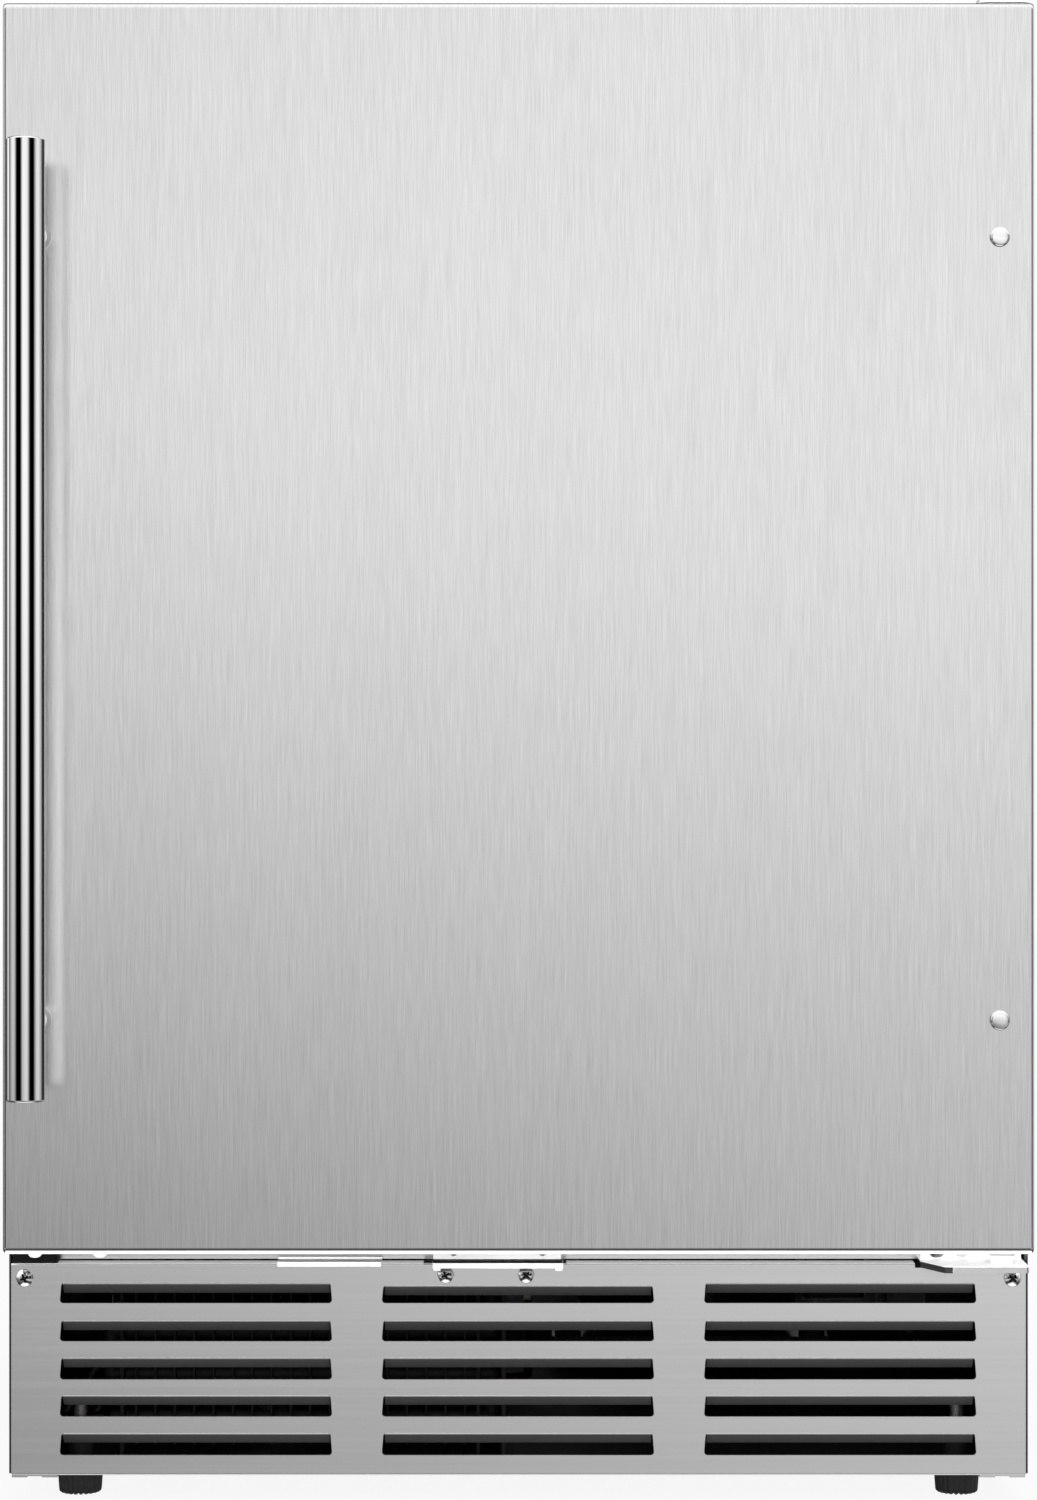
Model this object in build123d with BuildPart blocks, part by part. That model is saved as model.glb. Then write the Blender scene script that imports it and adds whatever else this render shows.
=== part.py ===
"""Undercounter refrigerator, front-breathing, one solid door hinged on the right.

Millimetres. +X right, +Y to the back, +Z up. The origin is on the floor, in the
middle of the overall box, so the door handle is at the front (-Y).
"""
import os
from math import cos, radians, sin

from build123d import *

os.makedirs("parts", exist_ok=True)

# ------------------------------------------------------------------ dimensions
# cabinet
CAB_W = 595.0  # outer width over the side panels
CAB_FRONT = -209.0  # plane the gasket closes on
CAB_BACK = 318.0  # outer face of the back panel
CAB_TOP = 871.5
CAB_BOT = 17.5
SHEET = 1.0  # cabinet sheet steel
FLANGE = 26.1  # front return flange of the side and top panels
HALF = CAB_W / 2
RAIL_TOP = 176.0  # top edge of the lower front rail
RAIL_BOT = 140.9

# door
DOOR_W = 593.0
DOOR_FRONT = -257.0
DOOR_BOT = 150.4
DOOR_TOP = 869.6
DOOR_SKIN_BACK = -220.0
DOOR_BACK = -217.0
SKIN = 0.8
DOOR_ROLL_R = 3.5  # rolled top and bottom front edges
DOOR_SIDE_R = 2.0  # folded side edges
DOOR_MID = (DOOR_BOT + DOOR_TOP) / 2

# hinge axis
PIN_X = 280.4
PIN_Y = -237.0
PIN_R = 3.95
BUSH_BORE_R = 4.03

# handle
HANDLE_X = 276.5  # the handle and the spare handle holes are mirror images
HANDLE_Y = -307.0
HANDLE_R = 11.0
HANDLE_WALL = 1.5
HANDLE_Z0 = 243.0
HANDLE_Z1 = 783.0
POST_R = 6.0
POST_Z = (284.8, 734.8)

# plinth grille
GR_FRONT = -222.0
GR_BACK = -209.4
GR_TOP = 140.1
GR_BOT = 16.4
GR_HALF = 296.3
SLOT_W = 158.2
SLOT_ROWS = ((116.9, 128.8), (94.6, 106.9), (72.3, 85.1), (50.6, 63.1), (28.1, 41.0))
SLOT_COLUMNS = (-188.4, -0.3, 187.9)

# storage space
CAV_X = 245.0
CAV_FLOOR = 196.0
CAV_CEIL = 822.0
CAV_BACK = 258.0
HUMP_Y = 53.0
HUMP_Z = 305.0
LINER = 2.0

# machine space
STEP_Y = 94.0
STEP_Z = 262.0
DECK_Z = 151.0

# shelves
SHELF_Z = (372.0, 520.0, 668.0)  # top of the supporting ledge
SPARE_Z = (446.0, 594.0, 742.0)
SHELF_Y0 = -180.0
SHELF_Y1 = 205.0
SHELF_X = 238.5
ROD_R = 3.0
WIRE_R = 1.6

# feet
FOOT_X = 260.0
FOOT_Y = (-187.0, 265.0)
FOOT_R = 13.6
STUD_R = 4.0
STUD_BORE_R = 4.1

# rear cover's screws
COVER_SCREW_X = (-262.0, 0.0, 262.0)
COVER_SCREW_Z = (31.0, 252.0)

# lock
LOCK_X = -12.0

# fans
COND_FAN = (-130.0, -72.0, 82.0)
EVAP_FAN = (0.0, 240.0, 640.0)


def slab(x0, x1, y0, y1, z0, z1, mode=Mode.ADD):
    """A box between two corners, in the part being built."""
    with Locations(((x0 + x1) / 2, (y0 + y1) / 2, (z0 + z1) / 2)):
        Box(x1 - x0, y1 - y0, z1 - z0, mode=mode)


def rod_x(x0, x1, y, z, r, mode=Mode.ADD):
    with Locations(((x0 + x1) / 2, y, z)):
        Cylinder(r, x1 - x0, rotation=(0, 90, 0), mode=mode)


def rod_y(x, y0, y1, z, r, mode=Mode.ADD):
    with Locations((x, (y0 + y1) / 2, z)):
        Cylinder(r, y1 - y0, rotation=(90, 0, 0), mode=mode)


def rod_z(x, y, z0, z1, r, mode=Mode.ADD):
    with Locations((x, y, (z0 + z1) / 2)):
        Cylinder(r, z1 - z0, mode=mode)


def pan_head(x, y, z, r, h, shank_r, shank_l):
    """A pan-head screw with a cross recess, pointing +Y, its head on the plane y."""
    rod_y(x, y - h, y, z, r)
    rod_y(x, y - 0.01, y + shank_l, z, shank_r)
    slab(x - r * 0.55, x + r * 0.55, y - h - 1, y - h * 0.45, z - 0.55, z + 0.55, Mode.SUBTRACT)
    slab(x - 0.55, x + 0.55, y - h - 1, y - h * 0.45, z - r * 0.55, z + r * 0.55, Mode.SUBTRACT)


def finish(builder, name):
    builder.part.label = name
    export_step(builder.part, f"parts/{name}.step")
    print(name, len(builder.part.solids()), round(builder.part.volume))


# ============================================================== cabinet panels
HINGE_SCREWS = ((244.0, 146.0), (260.0, 146.0), (286.0, 146.0))  # x, z on the front
GRILLE_SCREW_X = 288.5
GRILLE_SCREW_Z = 131.6
KEEPER_SCREW_Z = 133.4

for side, name in ((-1, "left_side_panel"), (1, "right_side_panel")):
    with BuildPart() as side_panel:
        # plan of the folded sheet: side wall, front return flange, rear return
        with BuildSketch(Plane.XY.offset(CAB_BOT)):
            with BuildLine():
                Polyline(
                    (side * HALF, CAB_FRONT),
                    (side * HALF, CAB_BACK),
                    (side * (HALF - 14), CAB_BACK),
                    (side * (HALF - 14), CAB_BACK - SHEET),
                    (side * (HALF - SHEET), CAB_BACK - SHEET),
                    (side * (HALF - SHEET), CAB_FRONT + SHEET),
                    (side * (HALF - FLANGE), CAB_FRONT + SHEET),
                    (side * (HALF - FLANGE), CAB_FRONT),
                    close=True,
                )
            make_face()
            fillet(
                [v for v in vertices() if abs(abs(v.X) - HALF) < 1e-6],
                radius=0.9,
            )
        extrude(amount=CAB_TOP - CAB_BOT)
        # the rear return stops at the back panel's lower edge
        slab(
            min(side * (HALF - 14.5), side * (HALF - SHEET - 0.2)),
            max(side * (HALF - 14.5), side * (HALF - SHEET - 0.2)),
            CAB_BACK - 3, CAB_BACK + 1, CAB_BOT - 1, STEP_Z - 1, Mode.SUBTRACT,
        )
        # the lower front edge runs forward beside the grille
        slab(
            min(side * HALF, side * (HALF - SHEET)), max(side * HALF, side * (HALF - SHEET)),
            GR_FRONT + 0.2, CAB_FRONT + 1, CAB_BOT, 149.6,
        )
        # hole for the grille's corner screw
        rod_y(side * GRILLE_SCREW_X, CAB_FRONT - 2, CAB_FRONT + 3, GRILLE_SCREW_Z, 2.4, Mode.SUBTRACT)
        if side > 0:
            for hx, hz in HINGE_SCREWS:
                if hx > HALF - FLANGE:
                    rod_y(hx, CAB_FRONT - 2, CAB_FRONT + 3, hz, 2.6, Mode.SUBTRACT)
    finish(side_panel, name)

with BuildPart() as top_panel:
    slab(-(HALF - SHEET - 0.1), HALF - SHEET - 0.1, CAB_FRONT + SHEET + 0.05, CAB_BACK - SHEET - 0.05, CAB_TOP - SHEET, CAB_TOP)
    slab(-(HALF - FLANGE - 0.1), HALF - FLANGE - 0.1, CAB_FRONT, CAB_FRONT + SHEET + 0.1, CAB_TOP - FLANGE, CAB_TOP)
    # rear return, over the back panel's upper edge
    slab(-(HALF - 14.2), HALF - 14.2, CAB_BACK - SHEET - 0.1, CAB_BACK, CAB_TOP - SHEET, CAB_TOP)
    fillet(
        top_panel.edges().filter_by(Axis.X).group_by(Axis.Z)[-1].sort_by(Axis.Y)[0],
        radius=0.9,
    )
    for sx, sy in ((232.0, -190.0), (262.0, -160.0), (286.0, -190.0)):
        rod_z(sx, sy, CAB_TOP - 3, CAB_TOP + 1, 2.6, Mode.SUBTRACT)
finish(top_panel, "top_panel")

with BuildPart() as bottom_rail:
    slab(-(HALF - FLANGE - 0.1), HALF - FLANGE - 0.1, CAB_FRONT, CAB_FRONT + SHEET, RAIL_BOT, RAIL_TOP)
    slab(-(HALF - FLANGE - 0.1), HALF - FLANGE - 0.1, CAB_FRONT, CAB_FRONT + 8, RAIL_BOT, RAIL_BOT + SHEET)
    fillet(
        bottom_rail.edges().filter_by(Axis.X).group_by(Axis.Z)[0].sort_by(Axis.Y)[0],
        radius=0.3,
    )
    for hx, hz in HINGE_SCREWS:
        if hx < HALF - FLANGE:
            rod_y(hx, CAB_FRONT - 2, CAB_FRONT + 3, hz, 2.6, Mode.SUBTRACT)
finish(bottom_rail, "bottom_rail")

with BuildPart() as back_panel:
    slab(-(HALF - 14.2), HALF - 14.2, CAB_BACK - SHEET, CAB_BACK, STEP_Z, CAB_TOP - SHEET - 0.1)
    # two shallow stiffening ribs pressed into the sheet
    for px in (-130.0, 130.0):
        slab(px - 9, px + 9, CAB_BACK - SHEET - 1.6, CAB_BACK - 0.4, 330, 800)
        slab(px - 8, px + 8, CAB_BACK - 1.6, CAB_BACK + 1, 331, 799, Mode.SUBTRACT)
finish(back_panel, "back_panel")

with BuildPart() as step_panel:
    with BuildSketch(Plane.YZ.offset(-(HALF - SHEET - 0.3))):
        with BuildLine():
            Polyline(
                (CAB_FRONT + 9, DECK_Z),
                (STEP_Y + SHEET, DECK_Z),
                (STEP_Y + SHEET, STEP_Z),
                (CAB_BACK - 2.9, STEP_Z),
                (CAB_BACK - 2.9, STEP_Z + SHEET),
                (STEP_Y, STEP_Z + SHEET),
                (STEP_Y, DECK_Z + SHEET),
                (CAB_FRONT + 9, DECK_Z + SHEET),
                close=True,
            )
        make_face()
    extrude(amount=2 * (HALF - SHEET - 0.3))
    # drop flange that the rear cover screws to
    slab(-(HALF - 20), HALF - 20, CAB_BACK - 8, CAB_BACK - 7, STEP_Z - 18, STEP_Z + 0.1)
    rod_z(0, 236, STEP_Z - 2, STEP_Z + 4, 7.2, Mode.SUBTRACT)
    for sx in COVER_SCREW_X:
        rod_y(sx, CAB_BACK - 9, CAB_BACK - 6, COVER_SCREW_Z[1], 2.0, Mode.SUBTRACT)
finish(step_panel, "step_panel")

with BuildPart() as base_pan:
    slab(-(HALF - SHEET - 0.2), HALF - SHEET - 0.2, CAB_FRONT + 1.3, CAB_BACK - 5.4, CAB_BOT, CAB_BOT + 1.5)
    slab(-(HALF - FLANGE - 2), HALF - FLANGE - 2, CAB_FRONT + 1.3, CAB_FRONT + 2.8, CAB_BOT, CAB_BOT + 8)
    slab(-(HALF - 20), HALF - 20, CAB_BACK - 6.9, CAB_BACK - 5.4, CAB_BOT, CAB_BOT + 18)
    for fy in FOOT_Y:
        for sx in (-1, 1):
            rod_z(sx * FOOT_X, fy, CAB_BOT - 1, CAB_BOT + 4, 8.7, Mode.SUBTRACT)
            rod_z(sx * 283.0, fy - 18, CAB_BOT - 1, CAB_BOT + 4, 2.2, Mode.SUBTRACT)
            rod_z(sx * 283.0, fy + 18, CAB_BOT - 1, CAB_BOT + 4, 2.2, Mode.SUBTRACT)
    for sx in COVER_SCREW_X:
        rod_y(sx, CAB_BACK - 8, CAB_BACK - 4, COVER_SCREW_Z[0], 2.0, Mode.SUBTRACT)
finish(base_pan, "base_pan")

with BuildPart() as foot_brackets:
    for fy in FOOT_Y:
        for sx in (-1, 1):
            y0 = fy - 32 if fy < 0 else fy - 30
            slab(
                min(sx * 243.5, sx * 296.3), max(sx * 243.5, sx * 296.3),
                y0, fy + 32, CAB_BOT - 2.0, CAB_BOT - 0.05,
            )
            rod_z(sx * FOOT_X, fy, CAB_BOT - 1.0, CAB_BOT + 13, 8.0)
            rod_z(sx * FOOT_X, fy, CAB_BOT - 3, CAB_BOT + 15, STUD_BORE_R, Mode.SUBTRACT)
            for dy in (-18, 18):
                rod_z(sx * 283.0, fy + dy, CAB_BOT - 3, CAB_BOT + 1, 2.2, Mode.SUBTRACT)
    # stepped down where the grille's lower flange runs over the front pair
    slab(-300.0, 300.0, -225.0, CAB_FRONT - 0.2, CAB_BOT - 1.2, CAB_BOT + 1, Mode.SUBTRACT)
finish(foot_brackets, "foot_brackets")

with BuildPart() as bracket_rivets:
    for fy in FOOT_Y:
        for sx in (-1, 1):
            for dy in (-18, 18):
                rod_z(sx * 283.0, fy + dy, CAB_BOT - 3.4, CAB_BOT - 2.02, 3.6)
                rod_z(sx * 283.0, fy + dy, CAB_BOT - 2.1, CAB_BOT + 2.6, 2.1)
finish(bracket_rivets, "bracket_rivets")

# ============================================================ foam and liner
FOAM_X = HALF - SHEET - 0.15
FOAM_FRONT = CAB_FRONT + LINER + 0.1
FOAM_BACK = CAB_BACK - 2.7
FOAM_TOP = CAB_TOP - SHEET - 0.05
CLR = 0.3  # parting gap between foam blocks
LX = CAV_X + LINER + 0.05  # liner's outer faces, seen from the foam

with BuildPart() as insulation:
    # side walls: full depth above the machine deck, stepped over the compressor
    for side in (-1, 1):
        with BuildSketch(Plane.YZ.offset(side * (LX + FOAM_X) / 2)):
            with BuildLine():
                Polyline(
                    (FOAM_FRONT, DECK_Z + SHEET + 0.05),
                    (STEP_Y - 0.05, DECK_Z + SHEET + 0.05),
                    (STEP_Y - 0.05, STEP_Z + SHEET + 0.05),
                    (FOAM_BACK, STEP_Z + SHEET + 0.05),
                    (FOAM_BACK, FOAM_TOP),
                    (FOAM_FRONT, FOAM_TOP),
                    close=True,
                )
            make_face()
        extrude(amount=(FOAM_X - LX) / 2, both=True)
    # ceiling
    slab(-LX + CLR, LX - CLR, FOAM_FRONT, FOAM_BACK, CAV_CEIL + LINER + 0.05, FOAM_TOP)
    # back wall, above the step
    slab(-LX + CLR, LX - CLR, CAV_BACK + LINER + 0.05, FOAM_BACK, HUMP_Z, CAV_CEIL + LINER - 0.25)
    # floor
    slab(-LX + CLR, LX - CLR, FOAM_FRONT, HUMP_Y, DECK_Z + SHEET + 0.05, CAV_FLOOR - LINER - 0.05)
    # riser in front of the machine space
    slab(-LX + CLR, LX - CLR, HUMP_Y + LINER + 0.05, STEP_Y - 0.05, DECK_Z + SHEET + 0.05, HUMP_Z - LINER - 0.05)
    # cover over the machine space
    slab(-LX + CLR, LX - CLR, STEP_Y + CLR, FOAM_BACK, STEP_Z + SHEET + 0.05, HUMP_Z - LINER - 0.05)
    # passage for the refrigerant pipes and the drain
    rod_z(0, 236, STEP_Z, HUMP_Z, 7.0, Mode.SUBTRACT)
finish(insulation, "insulation")

with BuildPart() as inner_liner:
    with BuildSketch(Plane.YZ.offset(-(CAV_X + LINER))):
        with BuildLine():
            Polyline(
                (CAB_FRONT, CAV_FLOOR - LINER),
                (HUMP_Y + LINER, CAV_FLOOR - LINER),
                (HUMP_Y + LINER, HUMP_Z - LINER),
                (CAV_BACK + LINER, HUMP_Z - LINER),
                (CAV_BACK + LINER, CAV_CEIL + LINER),
                (CAB_FRONT, CAV_CEIL + LINER),
                close=True,
            )
        make_face()
    extrude(amount=2 * (CAV_X + LINER))
    # front lip that meets the cabinet's flanges
    slab(-(HALF - FLANGE - 0.1), HALF - FLANGE - 0.1, CAB_FRONT, CAB_FRONT + LINER, RAIL_TOP + 0.1, CAB_TOP - FLANGE - 0.1)
    with BuildSketch(Plane.YZ.offset(-CAV_X)):
        with BuildLine():
            Polyline(
                (CAB_FRONT - 1, CAV_FLOOR),
                (HUMP_Y, CAV_FLOOR),
                (HUMP_Y, HUMP_Z),
                (CAV_BACK, HUMP_Z),
                (CAV_BACK, CAV_CEIL),
                (CAB_FRONT - 1, CAV_CEIL),
                close=True,
            )
        make_face()
    extrude(amount=2 * CAV_X, mode=Mode.SUBTRACT)
    # moulded shelf ledges, with a stop at the rear end
    for side in (-1, 1):
        for z in SHELF_Z + SPARE_Z:
            with BuildSketch(Plane.XZ.offset(-SHELF_Y0 - 0.0)):
                with BuildLine():
                    Polyline(
                        (side * (CAV_X + 1), z),
                        (side * (CAV_X - 12), z),
                        (side * (CAV_X - 12), z - 3),
                        (side * CAV_X, z - 12),
                        (side * (CAV_X + 1), z - 12),
                        close=True,
                    )
                make_face()
            extrude(amount=-(SHELF_Y1 + 12 - SHELF_Y0))
            slab(
                min(side * (CAV_X + 1), side * (CAV_X - 12)), max(side * (CAV_X + 1), side * (CAV_X - 12)),
                SHELF_Y1 + 5, SHELF_Y1 + 12, z - 1, z + 9,
            )
    rod_z(0, 236, HUMP_Z - 4, HUMP_Z + 1, 7.0, Mode.SUBTRACT)
finish(inner_liner, "inner_liner")

# ================================================================ kick grille
NOTCH_X = 231.5
NOTCH_Z = 137.6
FLAP_IN = 7.8  # how far a louvre's flap leans in
FLAP_DOWN = 6.8

with BuildPart() as kick_grille:
    slab(-GR_HALF, GR_HALF, GR_FRONT, GR_FRONT + 1.0, GR_BOT, GR_TOP)
    slab(-GR_HALF, GR_HALF, GR_FRONT, GR_BACK, GR_TOP - 1.0, GR_TOP)
    slab(-GR_HALF, GR_HALF, GR_FRONT, GR_BACK, GR_BOT, GR_BOT + 1.0)
    for side in (-1, 1):
        slab(
            min(side * GR_HALF, side * (GR_HALF - 1)), max(side * GR_HALF, side * (GR_HALF - 1)),
            GR_FRONT, GR_BACK, GR_BOT, GR_TOP,
        )
    fillet(
        kick_grille.edges().filter_by(Axis.X).filter_by(lambda e: abs(e.center().Y - GR_FRONT) < 1e-6),
        radius=0.9,
    )
    # short tabs at the foot of both ends, each with a shallow notch
    for side in (-1, 1):
        slab(
            min(side * 269.4, side * 296.0), max(side * 269.4, side * 296.0),
            GR_FRONT + 0.2, GR_FRONT + 2.6, GR_BOT - 1.3, GR_BOT + 0.5,
        )
        slab(
            min(side * 278.4, side * 287.0), max(side * 278.4, side * 287.0),
            GR_FRONT - 1, GR_FRONT + 10, GR_BOT - 2, GR_BOT - 0.6, Mode.SUBTRACT,
        )
    # notch for the lower hinge
    slab(NOTCH_X, 298.0, GR_FRONT - 1, GR_BACK + 1, NOTCH_Z, GR_TOP + 1, Mode.SUBTRACT)
    # clearance under the lock's strike
    slab(LOCK_X - 6.5, LOCK_X + 16.5, GR_FRONT + 1.2, -219.2, GR_TOP - 2, GR_TOP + 1, Mode.SUBTRACT)
    # slots, a little wider at the foot, with rounded upper corners
    for col in SLOT_COLUMNS:
        for row, (low, high) in enumerate(SLOT_ROWS):
            if row == 0 and abs(col) < 1:  # shortened below the strike
                high -= 1.5
            with BuildSketch(Plane.XZ.offset(-(GR_FRONT - 1))):
                with BuildLine():
                    Polyline(
                        (col - SLOT_W / 2 - 0.5, low),
                        (col - SLOT_W / 2 + 0.5, high),
                        (col + SLOT_W / 2 - 0.5, high),
                        (col + SLOT_W / 2 + 0.5, low),
                        close=True,
                    )
                make_face()
                fillet(vertices().group_by(Axis.Z)[-1], radius=2.0)
            extrude(amount=-3.0, mode=Mode.SUBTRACT)
            # the flap: the slot's own metal, leaning in and down from its top edge
            with BuildSketch(Plane.YZ.offset(col - SLOT_W / 2 + 1.2)):
                with BuildLine():
                    Polyline(
                        (GR_FRONT + 0.1, high + 0.4),
                        (GR_FRONT + 1.0, high + 0.7),
                        (GR_FRONT + FLAP_IN, high - FLAP_DOWN + 0.9),
                        (GR_FRONT + FLAP_IN - 0.7, high - FLAP_DOWN),
                        (GR_FRONT + 0.5, high - 0.45),
                        close=True,
                    )
                make_face()
            extrude(amount=SLOT_W - 2.4)
    for sx in (-GRILLE_SCREW_X, GRILLE_SCREW_X):
        rod_y(sx, GR_FRONT - 1, GR_FRONT + 2, GRILLE_SCREW_Z, 2.4, Mode.SUBTRACT)
    for sx in (-42.6, 4.4):
        rod_y(sx, GR_FRONT - 1, GR_FRONT + 2, KEEPER_SCREW_Z, 2.2, Mode.SUBTRACT)
finish(kick_grille, "kick_grille")

with BuildPart() as grille_screws:
    for sx in (-GRILLE_SCREW_X, GRILLE_SCREW_X):
        pan_head(sx, GR_FRONT - 0.03, GRILLE_SCREW_Z, 5.15, 2.8, 2.1, 18.0)
finish(grille_screws, "grille_screws")

# ================================================= hardware in the door's gap
with BuildPart() as hinge_seat_cover:
    slab(-296.3, -269.5, GR_FRONT + 0.5, CAB_FRONT - 0.05, GR_TOP + 0.1, 149.6)
    fillet(hinge_seat_cover.edges().filter_by(Axis.Z).group_by(Axis.Y)[0], radius=1.5)
finish(hinge_seat_cover, "hinge_seat_cover")

with BuildPart() as lock_keeper:
    slab(LOCK_X - 38, LOCK_X + 38, -226.8, CAB_FRONT - 0.05, GR_TOP + 0.05, GR_TOP + 0.75)
    # upright tab on the cabinet's rail
    slab(LOCK_X - 38, LOCK_X + 37, CAB_FRONT - 2.0, CAB_FRONT - 0.05, GR_TOP + 0.05, 147.6)
    # turned-down lip over the grille's top edge, with short legs at its ends
    slab(LOCK_X - 38, LOCK_X + 38, -226.8, -225.6, 137.9, GR_TOP + 0.75)
    for side in (-1, 1):
        slab(LOCK_X + side * 35.5 - 2, LOCK_X + side * 35.5 + 2, -226.8, -225.6, 136.6, 138.0)
    fillet(lock_keeper.edges().filter_by(Axis.Y).group_by(Axis.Z)[-1], radius=1.5)
    # strike opening
    slab(LOCK_X - 6, LOCK_X + 16, -224.7, -219.7, GR_TOP - 1, GR_TOP + 3, Mode.SUBTRACT)
    for dx in (-26, 26):
        rod_y(LOCK_X + dx, CAB_FRONT - 3, CAB_FRONT + 1, 144.8, 2.0, Mode.SUBTRACT)
finish(lock_keeper, "lock_keeper")

with BuildPart() as keeper_screws:
    for sx in (-42.6, 4.4):
        pan_head(sx, GR_FRONT - 0.03, KEEPER_SCREW_Z, 4.8, 2.5, 1.9, 11.0)
finish(keeper_screws, "keeper_screws")

with BuildPart() as door_sensor_bracket:
    slab(-140.8, -80.0, -225.6, CAB_FRONT - 0.05, GR_TOP + 0.05, GR_TOP + 1.4)
    slab(-140.8, -80.0, -225.6, -224.4, 138.8, GR_TOP + 1.4)
    slab(-140.8, -80.0, CAB_FRONT - 3.6, CAB_FRONT - 0.05, GR_TOP + 0.05, 142.7)
    chamfer(door_sensor_bracket.edges().filter_by(Axis.Z).group_by(Axis.Y)[0], length=0.6)
finish(door_sensor_bracket, "door_sensor_bracket")

# ===================================================================== hinges
LH_BOT = 138.0
LH_TOP = 141.8

with BuildPart() as lower_hinge_bracket:
    with BuildSketch(Plane.XY.offset(LH_BOT)):
        with BuildLine():
            Polyline(
                (234.5, CAB_FRONT - 0.05),
                (234.5, -223.5),
                (246.0, -247.5),
                (294.8, -247.5),
                (294.8, CAB_FRONT - 0.05),
                close=True,
            )
        make_face()
        fillet(vertices().group_by(Axis.Y)[0], radius=1.5)
    extrude(amount=LH_TOP - LH_BOT)
    slab(236.0, 294.8, CAB_FRONT - 3.0, CAB_FRONT - 0.05, LH_TOP - 0.1, 149.9)
    for hx, hz in HINGE_SCREWS:
        rod_y(hx, CAB_FRONT - 4, CAB_FRONT + 1, hz, 2.5, Mode.SUBTRACT)
    # riveted pin with a shoulder that the door's bush stands on
    rod_z(PIN_X, PIN_Y, LH_BOT - 0.9, LH_BOT + 0.1, 5.2)
    rod_z(PIN_X, PIN_Y, LH_TOP - 0.1, 147.0, 6.5)
    rod_z(PIN_X, PIN_Y, 146.9, 163.0, PIN_R)
    chamfer(lower_hinge_bracket.edges().group_by(Axis.Z)[-1], length=0.8)
finish(lower_hinge_bracket, "lower_hinge_bracket")

UH_BOT = CAB_TOP + 0.05
UH_TOP = UH_BOT + 3.0
TOP_SCREWS = ((232.0, -190.0), (262.0, -160.0), (286.0, -190.0))

with BuildPart() as upper_hinge_bracket:
    with BuildSketch(Plane.XY.offset(UH_BOT)):
        with BuildLine():
            Polyline(
                (266.0, -249.0),
                (295.5, -249.0),
                (295.5, -148.0),
                (222.0, -148.0),
                (222.0, -203.0),
                (252.0, -206.0),
                (266.0, -222.0),
                close=True,
            )
        make_face()
        fillet(vertices().sort_by(Axis.Y)[:2], radius=6.0)
        fillet(vertices().sort_by(Axis.Y)[-2:], radius=4.0)
    extrude(amount=UH_TOP - UH_BOT)
    for sx, sy in TOP_SCREWS:
        rod_z(sx, sy, UH_BOT - 1, UH_TOP + 1, 2.5, Mode.SUBTRACT)
    rod_z(PIN_X, PIN_Y, 857.0, UH_BOT + 0.1, PIN_R)
    rod_z(PIN_X, PIN_Y, UH_TOP - 0.1, UH_TOP + 1.4, 5.6)
    chamfer(upper_hinge_bracket.edges().group_by(Axis.Z)[0], length=0.8)
finish(upper_hinge_bracket, "upper_hinge_bracket")

with BuildPart() as hinge_screws:
    for hx, hz in HINGE_SCREWS:
        pan_head(hx, CAB_FRONT - 3.03, hz, 3.9, 2.2, 2.2, 10.0)
    for sx, sy in TOP_SCREWS:
        rod_z(sx, sy, UH_TOP + 0.03, UH_TOP + 2.2, 4.2)
        rod_z(sx, sy, CAB_TOP - 0.95, UH_TOP + 0.04, 2.2)
        slab(sx - 2.2, sx + 2.2, sy - 0.5, sy + 0.5, UH_TOP + 1.2, UH_TOP + 3, Mode.SUBTRACT)
        slab(sx - 0.5, sx + 0.5, sy - 2.2, sy + 2.2, UH_TOP + 1.2, UH_TOP + 3, Mode.SUBTRACT)
finish(hinge_screws, "hinge_screws")

# ======================================================================= door
BUSH_R = 6.0
PLUG_AT = ((-PIN_X, PIN_Y), (-242.7, PIN_Y), (242.7, PIN_Y))
BULGE_X = 228.0
BULGE_Z = (216.0, 805.0)
BULGE_Y = -206.5

with BuildPart() as door_skin:
    slab(-DOOR_W / 2, DOOR_W / 2, DOOR_FRONT, DOOR_SKIN_BACK, DOOR_BOT, DOOR_TOP)
    front_edges = door_skin.faces().sort_by(Axis.Y)[0].edges()
    fillet(front_edges.filter_by(Axis.X), radius=DOOR_ROLL_R)
    fillet(
        door_skin.edges().filter_by(Axis.Z).group_by(Axis.Y)[0],
        radius=DOOR_SIDE_R,
    )
    offset(amount=-SKIN, openings=door_skin.faces().sort_by(Axis.Y)[-1])
    # stud holes for the handle on either side
    for side in (-1, 1):
        for z in POST_Z:
            rod_y(side * HANDLE_X, DOOR_FRONT - 1, DOOR_FRONT + 2, z, 3.2, Mode.SUBTRACT)
    rod_z(PIN_X, PIN_Y, DOOR_BOT - 1, DOOR_BOT + 2, BUSH_R + 0.1, Mode.SUBTRACT)
    rod_z(PIN_X, PIN_Y, DOOR_TOP - 2, DOOR_TOP + 1, BUSH_R + 0.1, Mode.SUBTRACT)
    for px, py in PLUG_AT:
        rod_z(px, py, DOOR_BOT - 1, DOOR_BOT + 2, 2.1, Mode.SUBTRACT)
    rod_z(-PIN_X, PIN_Y, DOOR_TOP - 2, DOOR_TOP + 1, 2.1, Mode.SUBTRACT)
    slab(LOCK_X - 22.2, LOCK_X + 22.2, -236.2, -218.0, DOOR_BOT - 1, DOOR_BOT + 2, Mode.SUBTRACT)
finish(door_skin, "door_skin")

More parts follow.
